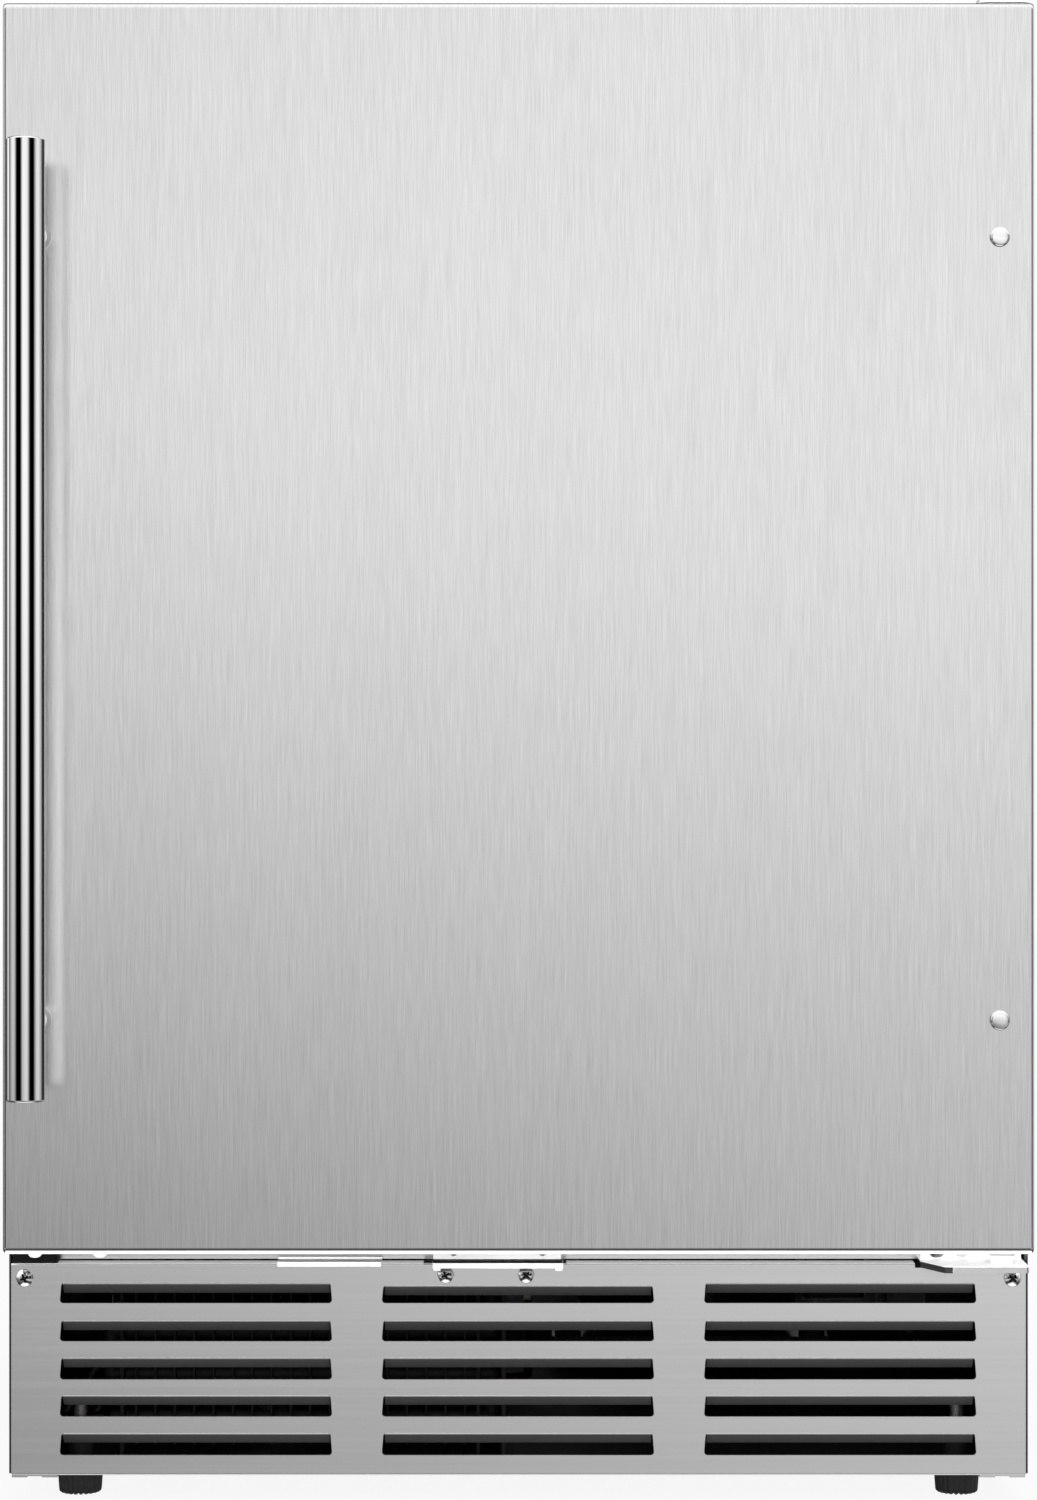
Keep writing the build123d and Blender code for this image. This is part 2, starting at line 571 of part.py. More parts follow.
with BuildPart() as door_foam:
    slab(-DOOR_W / 2 + 0.85, DOOR_W / 2 - 0.85, DOOR_FRONT + 0.85, DOOR_SKIN_BACK - 0.05, DOOR_BOT + 0.85, DOOR_TOP - 0.85)
    fillet(door_foam.edges().filter_by(Axis.X).group_by(Axis.Y)[0], radius=3.2)
    fillet(door_foam.edges().filter_by(Axis.Z).group_by(Axis.Y)[0], radius=1.8)
    slab(-BULGE_X + 2.05, BULGE_X - 2.05, DOOR_SKIN_BACK - 0.1, BULGE_Y - 2.05, BULGE_Z[0] + 2.05, BULGE_Z[1] - 2.05)
    fillet(door_foam.edges().filter_by(Axis.Y).group_by(Axis.Y)[-1], radius=16.0)
    fillet(door_foam.faces().sort_by(Axis.Y)[-1].edges(), radius=4.0)
    for side in (-1, 1):
        for z in POST_Z:
            rod_y(side * HANDLE_X, DOOR_FRONT, DOOR_FRONT + 16.3, z, 3.4, Mode.SUBTRACT)
    rod_z(PIN_X, PIN_Y, DOOR_BOT, 165.6, BUSH_R + 0.1, Mode.SUBTRACT)
    rod_z(PIN_X, PIN_Y, 855.2, DOOR_TOP, BUSH_R + 0.1, Mode.SUBTRACT)
    for px, py in PLUG_AT:
        rod_z(px, py, DOOR_BOT, DOOR_BOT + 9, 2.1, Mode.SUBTRACT)
    rod_z(-PIN_X, PIN_Y, DOOR_TOP - 9, DOOR_TOP, 2.1, Mode.SUBTRACT)
    slab(LOCK_X - 22.2, LOCK_X + 22.2, -236.2, -220.0, DOOR_BOT, DOOR_BOT + 30.3, Mode.SUBTRACT)
finish(door_foam, "door_foam")

with BuildPart() as door_liner:
    slab(-DOOR_W / 2 + 0.6, DOOR_W / 2 - 0.6, DOOR_SKIN_BACK + 0.02, DOOR_BACK, DOOR_BOT + 0.6, DOOR_TOP - 0.6)
    slab(-BULGE_X, BULGE_X, DOOR_SKIN_BACK + 1, BULGE_Y, BULGE_Z[0], BULGE_Z[1])
    fillet(door_liner.edges().filter_by(Axis.Y).group_by(Axis.Y)[-1], radius=18.0)
    fillet(door_liner.faces().sort_by(Axis.Y)[-1].edges(), radius=4.0)
    with BuildSketch(Plane.XZ.offset(2.0 - BULGE_Y)):
        with Locations((0, (BULGE_Z[0] + BULGE_Z[1]) / 2)):
            RectangleRounded(2 * BULGE_X - 4, BULGE_Z[1] - BULGE_Z[0] - 4, 16.0)
    extrude(amount=BULGE_Y - 2.0 - (DOOR_SKIN_BACK - 1), mode=Mode.SUBTRACT)
finish(door_liner, "door_liner")

GK_X = 279.0
GK_Z0 = DOOR_BOT + 17.0
GK_Z1 = DOOR_TOP - 17.0
GK_W = 16.0
with BuildPart() as door_gasket:
    g = 0.15  # parting gap at the mitres
    with BuildSketch(Plane.XZ.offset(-(DOOR_BACK + 0.03))):
        for z, s in ((GK_Z0, 1), (GK_Z1, -1)):
            with BuildLine():
                Polyline(
                    (-GK_X + g, z),
                    (GK_X - g, z),
                    (GK_X - GK_W - g, z + s * GK_W),
                    (-GK_X + GK_W + g, z + s * GK_W),
                    close=True,
                )
            make_face()
        for s in (-1, 1):
            with BuildLine():
                Polyline(
                    (s * GK_X, GK_Z0 + g),
                    (s * GK_X, GK_Z1 - g),
                    (s * (GK_X - GK_W), GK_Z1 - GK_W - g),
                    (s * (GK_X - GK_W), GK_Z0 + GK_W + g),
                    close=True,
                )
            make_face()
    extrude(amount=-7.6)
finish(door_gasket, "door_gasket")

with BuildPart() as handle_tube:
    rod_z(-HANDLE_X, HANDLE_Y, HANDLE_Z0 + 1.5, HANDLE_Z1 - 1.5, HANDLE_R)
    rod_z(-HANDLE_X, HANDLE_Y, HANDLE_Z0, HANDLE_Z1, HANDLE_R - HANDLE_WALL, Mode.SUBTRACT)
finish(handle_tube, "handle_tube")

with BuildPart() as handle_end_caps:
    for z, s in ((HANDLE_Z0, 1), (HANDLE_Z1, -1)):
        rod_z(-HANDLE_X, HANDLE_Y, min(z, z + s * 1.48), max(z, z + s * 1.48), HANDLE_R)
        rod_z(-HANDLE_X, HANDLE_Y, min(z + s * 1.4, z + s * 8), max(z + s * 1.4, z + s * 8), HANDLE_R - HANDLE_WALL - 0.03)
    fillet(handle_end_caps.edges().filter_by(GeomType.CIRCLE).group_by(Axis.Z)[0], radius=1.2)
    fillet(handle_end_caps.edges().filter_by(GeomType.CIRCLE).group_by(Axis.Z)[-1], radius=1.2)
finish(handle_end_caps, "handle_end_caps")

with BuildPart() as handle_posts:
    for z in POST_Z:
        rod_y(-HANDLE_X, HANDLE_Y + 2, DOOR_FRONT - 0.03, z, POST_R)
        rod_y(-HANDLE_X, DOOR_FRONT - 2.0, DOOR_FRONT - 0.03, z, 8.5)
        rod_y(-HANDLE_X, DOOR_FRONT - 0.5, DOOR_FRONT + 16, z, 3.0)
        rod_z(-HANDLE_X, HANDLE_Y, z - 12, z + 12, HANDLE_R + 0.03, Mode.SUBTRACT)
finish(handle_posts, "handle_posts")

with BuildPart() as hole_plugs:
    for z in POST_Z:
        rod_y(HANDLE_X, DOOR_FRONT - 2.6, DOOR_FRONT - 0.03, z, 5.85)
        rod_y(HANDLE_X, DOOR_FRONT - 0.1, DOOR_FRONT + 9, z, 3.0)
    fillet(hole_plugs.edges().filter_by(GeomType.CIRCLE).group_by(Axis.Y)[0], radius=2.3)
finish(hole_plugs, "hole_plugs")

with BuildPart() as hinge_bushings:
    rod_z(PIN_X, PIN_Y, 147.2, DOOR_BOT - 0.03, 7.6)
    rod_z(PIN_X, PIN_Y, DOOR_BOT - 0.1, 165.4, BUSH_R)
    rod_z(PIN_X, PIN_Y, 146, 167, BUSH_BORE_R, Mode.SUBTRACT)
    rod_z(PIN_X, PIN_Y, DOOR_TOP + 0.03, CAB_TOP - 0.3, 7.6)
    rod_z(PIN_X, PIN_Y, 855.4, DOOR_TOP + 0.1, BUSH_R)
    rod_z(PIN_X, PIN_Y, 850, 880, BUSH_BORE_R, Mode.SUBTRACT)
finish(hinge_bushings, "hinge_bushings")

with BuildPart() as door_plug_screws:
    for px, py in PLUG_AT:
        rod_z(px, py, DOOR_BOT - 4.7, DOOR_BOT - 0.03, 4.2)
        rod_z(px, py, DOOR_BOT - 0.1, DOOR_BOT + 8.6, 2.0)
    fillet(door_plug_screws.edges().filter_by(GeomType.CIRCLE).group_by(Axis.Z)[0], radius=3.0)
    rod_z(-PIN_X, PIN_Y, DOOR_TOP + 0.03, DOOR_TOP + 1.8, 4.2)
    rod_z(-PIN_X, PIN_Y, DOOR_TOP - 8.6, DOOR_TOP + 0.1, 2.0)
    fillet(door_plug_screws.edges().filter_by(GeomType.CIRCLE).group_by(Axis.Z)[-1], radius=1.2)
finish(door_plug_screws, "door_plug_screws")

# lock: a housing let into the door's lower edge, a cylinder turned from below
# and a bolt that it drops towards the strike
LOCK_CYL = (LOCK_X - 12.0, -229.0)
with BuildPart() as lock_housing:
    slab(LOCK_X - 22, LOCK_X + 22, -236, -220.1, DOOR_BOT + 0.2, DOOR_BOT + 30)
    rod_z(LOCK_CYL[0], LOCK_CYL[1], DOOR_BOT - 1, DOOR_BOT + 20.3, 6.3, Mode.SUBTRACT)
    slab(LOCK_X - 5.3, LOCK_X + 15.3, -224.4, -219.0, DOOR_BOT - 1, DOOR_BOT + 24, Mode.SUBTRACT)
finish(lock_housing, "lock_housing")

with BuildPart() as lock_cylinder:
    rod_z(LOCK_CYL[0], LOCK_CYL[1], DOOR_BOT + 0.3, DOOR_BOT + 20, 6.0)
    slab(LOCK_CYL[0] - 3.4, LOCK_CYL[0] + 3.4, LOCK_CYL[1] - 0.8, LOCK_CYL[1] + 0.8, DOOR_BOT - 3, DOOR_BOT + 3, Mode.SUBTRACT)
finish(lock_cylinder, "lock_cylinder")

with BuildPart() as lock_bolt:
    slab(LOCK_X - 5.0, LOCK_X + 15.0, -224.0, -220.4, DOOR_BOT + 0.5, DOOR_BOT + 17)
finish(lock_bolt, "lock_bolt")

# ============================================================== machine space
PAN = CAB_BOT + 1.5
COMP = (118.0, 204.0)

with BuildPart() as compressor:
    # two deep-drawn half shells with a welded seam, on a foot plate
    with BuildSketch(Plane.XY.offset(37.0)):
        with Locations(COMP):
            Ellipse(76.0, 62.0)
    extrude(amount=78.0)
    fillet(compressor.edges().group_by(Axis.Z)[0], radius=22.0)
    with BuildSketch(Plane.XY.offset(115.0)):
        with Locations(COMP):
            Ellipse(73.0, 59.0)
    extrude(amount=66.0)
    fillet(compressor.edges().group_by(Axis.Z)[-1], radius=30.0)
    with BuildSketch(Plane.XY.offset(112.0)):
        with Locations(COMP):
            Ellipse(79.0, 65.0)
    extrude(amount=3.5)
    slab(COMP[0] - 95, COMP[0] + 95, COMP[1] - 52, COMP[1] + 52, 34.0, 37.5)
    rod_z(COMP[0], COMP[1], 34.0, 60.0, 40.0)
    for dx in (-84, 84):
        for dy in (-42, 42):
            rod_z(COMP[0] + dx, COMP[1] + dy, 33, 39, 6.2, Mode.SUBTRACT)
    # process, suction and discharge stubs
    rod_x(COMP[0] - 88, COMP[0] - 60, COMP[1] + 20, 96, 3.6)
    rod_x(COMP[0] - 88, COMP[0] - 60, COMP[1] - 22, 140, 4.8)
    rod_x(COMP[0] - 90, COMP[0] - 60, COMP[1] + 4, 66, 3.6)
finish(compressor, "compressor")

with BuildPart() as compressor_grommets:
    for dx in (-84, 84):
        for dy in (-42, 42):
            rod_z(COMP[0] + dx, COMP[1] + dy, PAN + 0.05, 33.95, 10.5)
            rod_z(COMP[0] + dx, COMP[1] + dy, 33.9, 44.0, 6.0)
            rod_z(COMP[0] + dx, COMP[1] + dy, 37.6, 40.5, 9.0)
finish(compressor_grommets, "compressor_grommets")

with BuildPart() as relay_box:
    slab(COMP[0] + 80.5, COMP[0] + 122, COMP[1] - 26, COMP[1] + 26, 60, 118)
    fillet(relay_box.edges().filter_by(Axis.Z), radius=4.0)
finish(relay_box, "relay_box")

CX0, CX1 = -236.0, -24.0
CY0, CY1 = -182.0, -118.0
with BuildPart() as condenser:
    for i in range(18):
        x = CX0 + 8 + i * (CX1 - CX0 - 16) / 17
        slab(x - 0.5, x + 0.5, CY0 + 4, CY1 - 4, 26, 136)
    for x in (CX0, CX1):
        slab(x - 1, x + 1, CY0, CY1, PAN + 0.05, 138)
    for j, y in enumerate((-166.0, -134.0)):
        for i in range(4):
            rod_x(CX0 - 8, CX1 + 8, y, 40 + i * 26 + j * 6, 4.5)
    # return bends at the ends
    for j, y in enumerate((-166.0, -134.0)):
        for i in range(3):
            x = CX1 + 8 if i % 2 == 0 else CX0 - 8
            z = 40 + i * 26 + j * 6
            rod_z(x, y, z, z + 26, 4.5)
            for zz in (z, z + 26):
                with Locations((x, y, zz)):
                    Sphere(4.5)
    rod_y(CX0 - 8, -166.0, -134.0, 120, 4.5)
finish(condenser, "condenser")

FX, FY, FZ = COND_FAN
with BuildPart() as fan_shroud:
    slab(CX0 - 2, CX1 + 14, -100.0, -97.5, PAN + 0.05, 144)
    rod_y(FX, -100.0, -60.0, FZ, 60.0)
    rod_y(FX, -110, -50, FZ, 57.5, Mode.SUBTRACT)
    # cheek that parts the intake side from the outlet side
    slab(CX1 + 14, CX1 + 16.5, -198.0, -97.5, PAN + 0.05, 144)
    # spider that carries the motor
    for a in (45, 135, 225, 315):
        with Locations(Location((FX + 39 * cos(radians(a)), -62.0, FZ + 39 * sin(radians(a))), (0, -a, 0))):
            Box(41.0, 3.0, 4.0)
    rod_y(FX, -63.5, -60.5, FZ, 22.0)
finish(fan_shroud, "fan_shroud")

with BuildPart() as condenser_fan_motor:
    rod_y(FX, -60.45, -20.0, FZ, 24.0)
    fillet(condenser_fan_motor.edges().group_by(Axis.Y)[-1], radius=6.0)
finish(condenser_fan_motor, "condenser_fan_motor")


def blades(x, y0, y1, z, hub, tip, count, pitch):
    """Axial fan about +Y: a closed hub and flat, pitched blades with round tips."""
    rod_y(x, y0, y1, z, hub)
    mid = (y0 + y1) / 2
    for i in range(count):
        a = 360.0 / count * i
        with Locations(
            Location((x, mid, z), (0, a, 0)) * Location(((hub + tip) / 2 - 2, 0, 0), (pitch, 0, 0))
        ):
            Box(tip - hub + 4, 1.6, (hub + tip) * 0.52)


with BuildPart() as condenser_fan:
    blades(FX, -82.0, -66.0, FZ, 17.0, 48.0, 5, 28.0)
finish(condenser_fan, "condenser_fan")

with BuildPart() as drip_tray:
    slab(-244.0, -70.0, 128.0, 292.0, 42.0, 74.0)
    fillet(drip_tray.edges().filter_by(Axis.Z), radius=12.0)
    slab(-241.8, -72.2, 130.2, 289.8, 44.2, 80.0, Mode.SUBTRACT)
    for px, py in ((-228, 146), (-228, 274), (-86, 146), (-86, 274)):
        rod_z(px, py, PAN + 0.05, 42.1, 6.0)
finish(drip_tray, "drip_tray")

with BuildPart() as filter_drier:
    rod_z(-20.0, 150.0, 84.0, 168.0, 11.0)
    fillet(filter_drier.edges().filter_by(GeomType.CIRCLE), radius=5.0)
    rod_z(-20.0, 150.0, 76.0, 176.0, 3.4)
finish(filter_drier, "filter_drier")


# routes: straight runs joined by tangent arcs
DISCHARGE = (
    (COMP[0] - 90.1, COMP[1] + 4, 66), (6, COMP[1] + 4, 66), (6, 110, 66), (6, 34, 30),
    (-130, 10, 30), (-262, 10, 30), (-262, -134, 30), (-262, -134, 46), (-248.6, -134, 46),
)
LIQUID = (
    (-248.6, -166, 40), (-274, -166, 40), (-274, 30, 40), (-268, 112, 40),
    (-20, 112, 40), (-20, 150, 40), (-20, 150, 75.95),
)
CAPILLARY = (
    (-20, 150, 176.05), (-20, 150, 215), (-4.5, 236, 232), (-4.5, 236, 336),
    (-196, 241, 336), (-196, 241, 366), (-186.1, 241, 366),
)
SUCTION = (
    (186.1, 241, 534), (196, 241, 534), (196, 241, 340), (2.6, 236, 340),
    (2.6, 236, 232), (14, 182, 205), (14, 182, 140), (29.95, 182, 140),
)
with BuildPart() as refrigerant_lines:
    for points, r in ((DISCHARGE, 3.2), (LIQUID, 3.2), (CAPILLARY, 1.5), (SUCTION, 3.2)):
        with BuildLine() as path:
            FilletPolyline(*points, radius=6.5)
        with BuildSketch(Plane(origin=path.line @ 0, z_dir=path.line % 0)):
            Circle(r)
        sweep(path=path.wire())
        print("pipe", r, "length", round(path.wire().length), "radius 6.5")
finish(refrigerant_lines, "refrigerant_lines")

with BuildPart() as rear_cover:
    slab(-(HALF - SHEET - 0.15), HALF - SHEET - 0.15, CAB_BACK - 5.3, CAB_BACK - 4.3, PAN + 1, STEP_Z - 1.5)
    for z in (STEP_Z - 3.5, PAN + 3):
        slab(-(HALF - 22), HALF - 22, CAB_BACK - 4.4, CAB_BACK - 3.0, z, z + 1.0)
    # louvre slots for the compressor's air
    for col in (-170.0, 0.0, 170.0):
        for row in range(6):
            z = 70.0 + row * 20.0
            slab(col - 55, col + 55, CAB_BACK - 6, CAB_BACK - 3.5, z, z + 7.0, Mode.SUBTRACT)
    # cord inlet
    rod_y(-250.0, CAB_BACK - 7, CAB_BACK - 3, 70.0, 9.2, Mode.SUBTRACT)
    for sx in COVER_SCREW_X:
        for sz in COVER_SCREW_Z:
            rod_y(sx, CAB_BACK - 7, CAB_BACK - 3, sz, 2.1, Mode.SUBTRACT)
finish(rear_cover, "rear_cover")

with BuildPart() as rear_cover_screws:
    for sx in COVER_SCREW_X:
        for sz in COVER_SCREW_Z:
            rod_y(sx, CAB_BACK - 4.27, CAB_BACK - 2.2, sz, 3.8)
            rod_y(sx, CAB_BACK - 12.0, CAB_BACK - 4.2, sz, 1.8)
            slab(sx - 2, sx + 2, CAB_BACK - 3.2, CAB_BACK - 1, sz - 0.45, sz + 0.45, Mode.SUBTRACT)
            slab(sx - 0.45, sx + 0.45, CAB_BACK - 3.2, CAB_BACK - 1, sz - 2, sz + 2, Mode.SUBTRACT)
finish(rear_cover_screws, "rear_cover_screws")

with BuildPart() as cord_inlet:
    rod_y(-250.0, CAB_BACK - 16.0, CAB_BACK - 5.2, 70.0, 9.0)
    rod_y(-250.0, CAB_BACK - 4.27, CAB_BACK - 1.2, 70.0, 12.0)
    rod_y(-250.0, CAB_BACK - 5.3, CAB_BACK - 4.2, 70.0, 9.0)
    rod_y(-250.0, CAB_BACK - 11.0, CAB_BACK - 5.36, 70.0, 12.0)
    fillet(cord_inlet.edges().filter_by(GeomType.CIRCLE).group_by(Axis.Y)[-1], radius=1.5)
    rod_y(-250.0, CAB_BACK - 17.0, CAB_BACK, 70.0, 4.6, Mode.SUBTRACT)
finish(cord_inlet, "cord_inlet")

# ============================================================ inside the space
EX, EY, EZ = EVAP_FAN
with BuildPart() as evaporator_coil:
    for i in range(15):
        x = -168 + i * 24.0
        slab(x - 0.6, x + 0.6, 230.0, 252.0, 352.0, 548.0)
    for i in range(7):
        rod_x(-182, 182, 241.0, 366 + i * 28, 4.0)
        if i < 6:
            x = 182 if i % 2 == 0 else -182
            rod_z(x, 241.0, 366 + i * 28, 394 + i * 28, 4.0)
    for i in range(7):
        for x in (-182, 182):
            with Locations((x, 241.0, 366 + i * 28)):
                Sphere(4.0)
    for x in (-150.0, 150.0):
        slab(x - 8, x + 8, 250.0, CAV_BACK - 0.05, 420, 480)
finish(evaporator_coil, "evaporator_coil")

with BuildPart() as evaporator_cover:
    slab(-205.0, 205.0, 220.5, CAV_BACK - 0.1, 326.0, 772.0)
    fillet(evaporator_cover.edges().filter_by(Axis.Y), radius=14.0)
    fillet(evaporator_cover.edges().group_by(Axis.Y)[0], radius=6.0)
    slab(-203.0, 203.0, 222.5, CAV_BACK + 1, 328.0, 770.0, Mode.SUBTRACT)
    # fan guard: concentric openings with four spokes
    for r0, r1 in ((14.0, 21.0), (26.0, 33.0), (38.0, 45.0), (50.0, 57.0)):
        with BuildSketch(Plane.XZ.offset(-219.0)):
            with Locations((EX, EZ)):
                Circle(r1)
                Circle(r0, mode=Mode.SUBTRACT)
                Rectangle(150.0, 5.0, mode=Mode.SUBTRACT)
                Rectangle(5.0, 150.0, mode=Mode.SUBTRACT)
        extrude(amount=-5.0, mode=Mode.SUBTRACT)
    # way in for the pipes
    slab(-14.0, 14.0, 226.0, CAV_BACK + 1, 325.0, 329.0, Mode.SUBTRACT)
    # return-air slots at the foot
    for i in range(9):
        x = -160 + i * 40.0
        slab(x - 14, x + 14, 219, 224, 342.0, 347.0, Mode.SUBTRACT)
        slab(x - 14, x + 14, 219, 224, 352.0, 357.0, Mode.SUBTRACT)
finish(evaporator_cover, "evaporator_cover")

with BuildPart() as evaporator_fan:
    blades(EX, 226.5, 236.5, EZ, 13.0, 50.0, 5, 22.0)
finish(evaporator_fan, "evaporator_fan")

with BuildPart() as evaporator_fan_motor:
    rod_y(EX, 246.5, CAV_BACK - 0.05, EZ, 20.0)
    slab(EX - 62, EX + 62, CAV_BACK - 3.0, CAV_BACK - 0.05, EZ - 7, EZ + 7)
finish(evaporator_fan_motor, "evaporator_fan_motor")

CTL_X = 95.0
CTL_Y = (-150.0, -40.0)
CTL_Z = 787.0
KNOB_X = 45.0
KNOB_Z = 805.0
with BuildPart() as control_housing:
    slab(-CTL_X, CTL_X, CTL_Y[0], CTL_Y[1], CTL_Z, CAV_CEIL - 0.05)
    fillet(control_housing.edges().filter_by(Axis.Z), radius=6.0)
    fillet(control_housing.edges().group_by(Axis.Z)[0], radius=3.0)
    slab(-CTL_X + 3, CTL_X - 3, CTL_Y[0] + 3, CTL_Y[1] - 3, CTL_Z + 3, CAV_CEIL + 1, Mode.SUBTRACT)
    slab(-76.0, 16.0, CTL_Y[0] + 20, CTL_Y[1] - 20, CTL_Z - 1, CTL_Z + 4, Mode.SUBTRACT)
    rod_y(KNOB_X, CTL_Y[0] - 1, CTL_Y[0] + 5, KNOB_Z, 3.4, Mode.SUBTRACT)
finish(control_housing, "control_housing")

with BuildPart() as light_lens:
    slab(-75.8, 15.8, CTL_Y[0] + 20.2, CTL_Y[1] - 20.2, CTL_Z + 0.6, CTL_Z + 3.0)
    slab(-78.0, 18.0, CTL_Y[0] + 18, CTL_Y[1] - 18, CTL_Z + 3.05, CTL_Z + 5.0)
    slab(-75.8, 15.8, CTL_Y[0] + 20.2, CTL_Y[1] - 20.2, CTL_Z + 2.9, CTL_Z + 3.2)
finish(light_lens, "light_lens")

with BuildPart() as thermostat_knob:
    rod_y(KNOB_X, CTL_Y[0] - 12.0, CTL_Y[0] - 0.4, KNOB_Z, 14.0)
    fillet(thermostat_knob.edges().group_by(Axis.Y)[0], radius=1.5)
    slab(KNOB_X - 1.5, KNOB_X + 1.5, CTL_Y[0] - 17.0, CTL_Y[0] - 11.0, KNOB_Z - 12.5, KNOB_Z + 12.5)
    rod_y(KNOB_X, CTL_Y[0] - 1.0, CTL_Y[0] + 12.0, KNOB_Z, 3.0)
finish(thermostat_knob, "thermostat_knob")

# ==================================================================== shelves
for name, ledge in zip(("shelf_lower", "shelf_middle", "shelf_upper"), SHELF_Z):
    z = ledge + 0.3 + ROD_R
    with BuildPart() as shelf:
        # outer frame: one rod bent round four corners
        with BuildLine() as ring:
            FilletPolyline(
                (-SHELF_X, SHELF_Y0, z),
                (SHELF_X, SHELF_Y0, z),
                (SHELF_X, SHELF_Y1, z),
                (-SHELF_X, SHELF_Y1, z),
                radius=12.0,
                close=True,
            )
        with BuildSketch(Plane(origin=ring.line @ 0, z_dir=ring.line % 0)):
            Circle(ROD_R)
        sweep(path=ring.wire())
        for y in (SHELF_Y0 + 128, SHELF_Y0 + 257):
            rod_x(-SHELF_X + 0.4, SHELF_X - 0.4, y, z, ROD_R - 0.5)
        # deck wires lie on the frame
        with Locations((0, (SHELF_Y0 + SHELF_Y1) / 2, z + ROD_R + 0.55)):
            with GridLocations((2 * SHELF_X - 36) / 24, 1, 25, 1):
                Cylinder(WIRE_R, SHELF_Y1 - SHELF_Y0 + 5.0, rotation=(90, 0, 0))
    finish(shelf, name)

# ======================================================================= feet
for fy, row in zip(FOOT_Y, ("front", "rear")):
    for side, hand in ((-1, "left"), (1, "right")):
        with BuildPart() as foot:
            # pad: slightly conical, ribbed all round for gripping
            with BuildSketch(Plane.XY):
                with Locations((side * FOOT_X, fy)):
                    Circle(12.6)
            with BuildSketch(Plane.XY.offset(14.4)):
                with Locations((side * FOOT_X, fy)):
                    Circle(FOOT_R)
            loft()
            fillet(foot.edges().group_by(Axis.Z)[0], radius=1.6)
            with Locations((side * FOOT_X, fy, 0)):
                with PolarLocations(FOOT_R + 0.5, 20):
                    Cylinder(1.1, 40, mode=Mode.SUBTRACT)
            rod_z(side * FOOT_X, fy, 14.0, 60.0, STUD_R)
            chamfer(foot.edges().group_by(Axis.Z)[-1], length=1.0)
        finish(foot, f"foot_{row}_{hand}")
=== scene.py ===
import math

import bmesh
import bpy
from mathutils import Matrix, Vector


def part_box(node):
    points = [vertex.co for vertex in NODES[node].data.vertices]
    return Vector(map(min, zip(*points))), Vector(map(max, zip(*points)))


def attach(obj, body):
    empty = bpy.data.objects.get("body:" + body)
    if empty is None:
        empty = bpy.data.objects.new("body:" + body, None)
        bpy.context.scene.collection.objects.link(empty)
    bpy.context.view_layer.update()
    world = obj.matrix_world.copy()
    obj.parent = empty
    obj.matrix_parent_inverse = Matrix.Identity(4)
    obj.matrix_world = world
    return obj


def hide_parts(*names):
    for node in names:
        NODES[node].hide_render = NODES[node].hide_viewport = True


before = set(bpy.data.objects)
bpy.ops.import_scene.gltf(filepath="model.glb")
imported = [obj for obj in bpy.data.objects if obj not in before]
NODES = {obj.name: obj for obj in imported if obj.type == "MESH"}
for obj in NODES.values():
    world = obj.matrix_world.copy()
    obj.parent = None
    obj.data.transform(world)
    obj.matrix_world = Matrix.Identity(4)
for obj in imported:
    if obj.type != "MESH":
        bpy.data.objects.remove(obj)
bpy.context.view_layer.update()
scene = bpy.context.scene
MM = 0.001


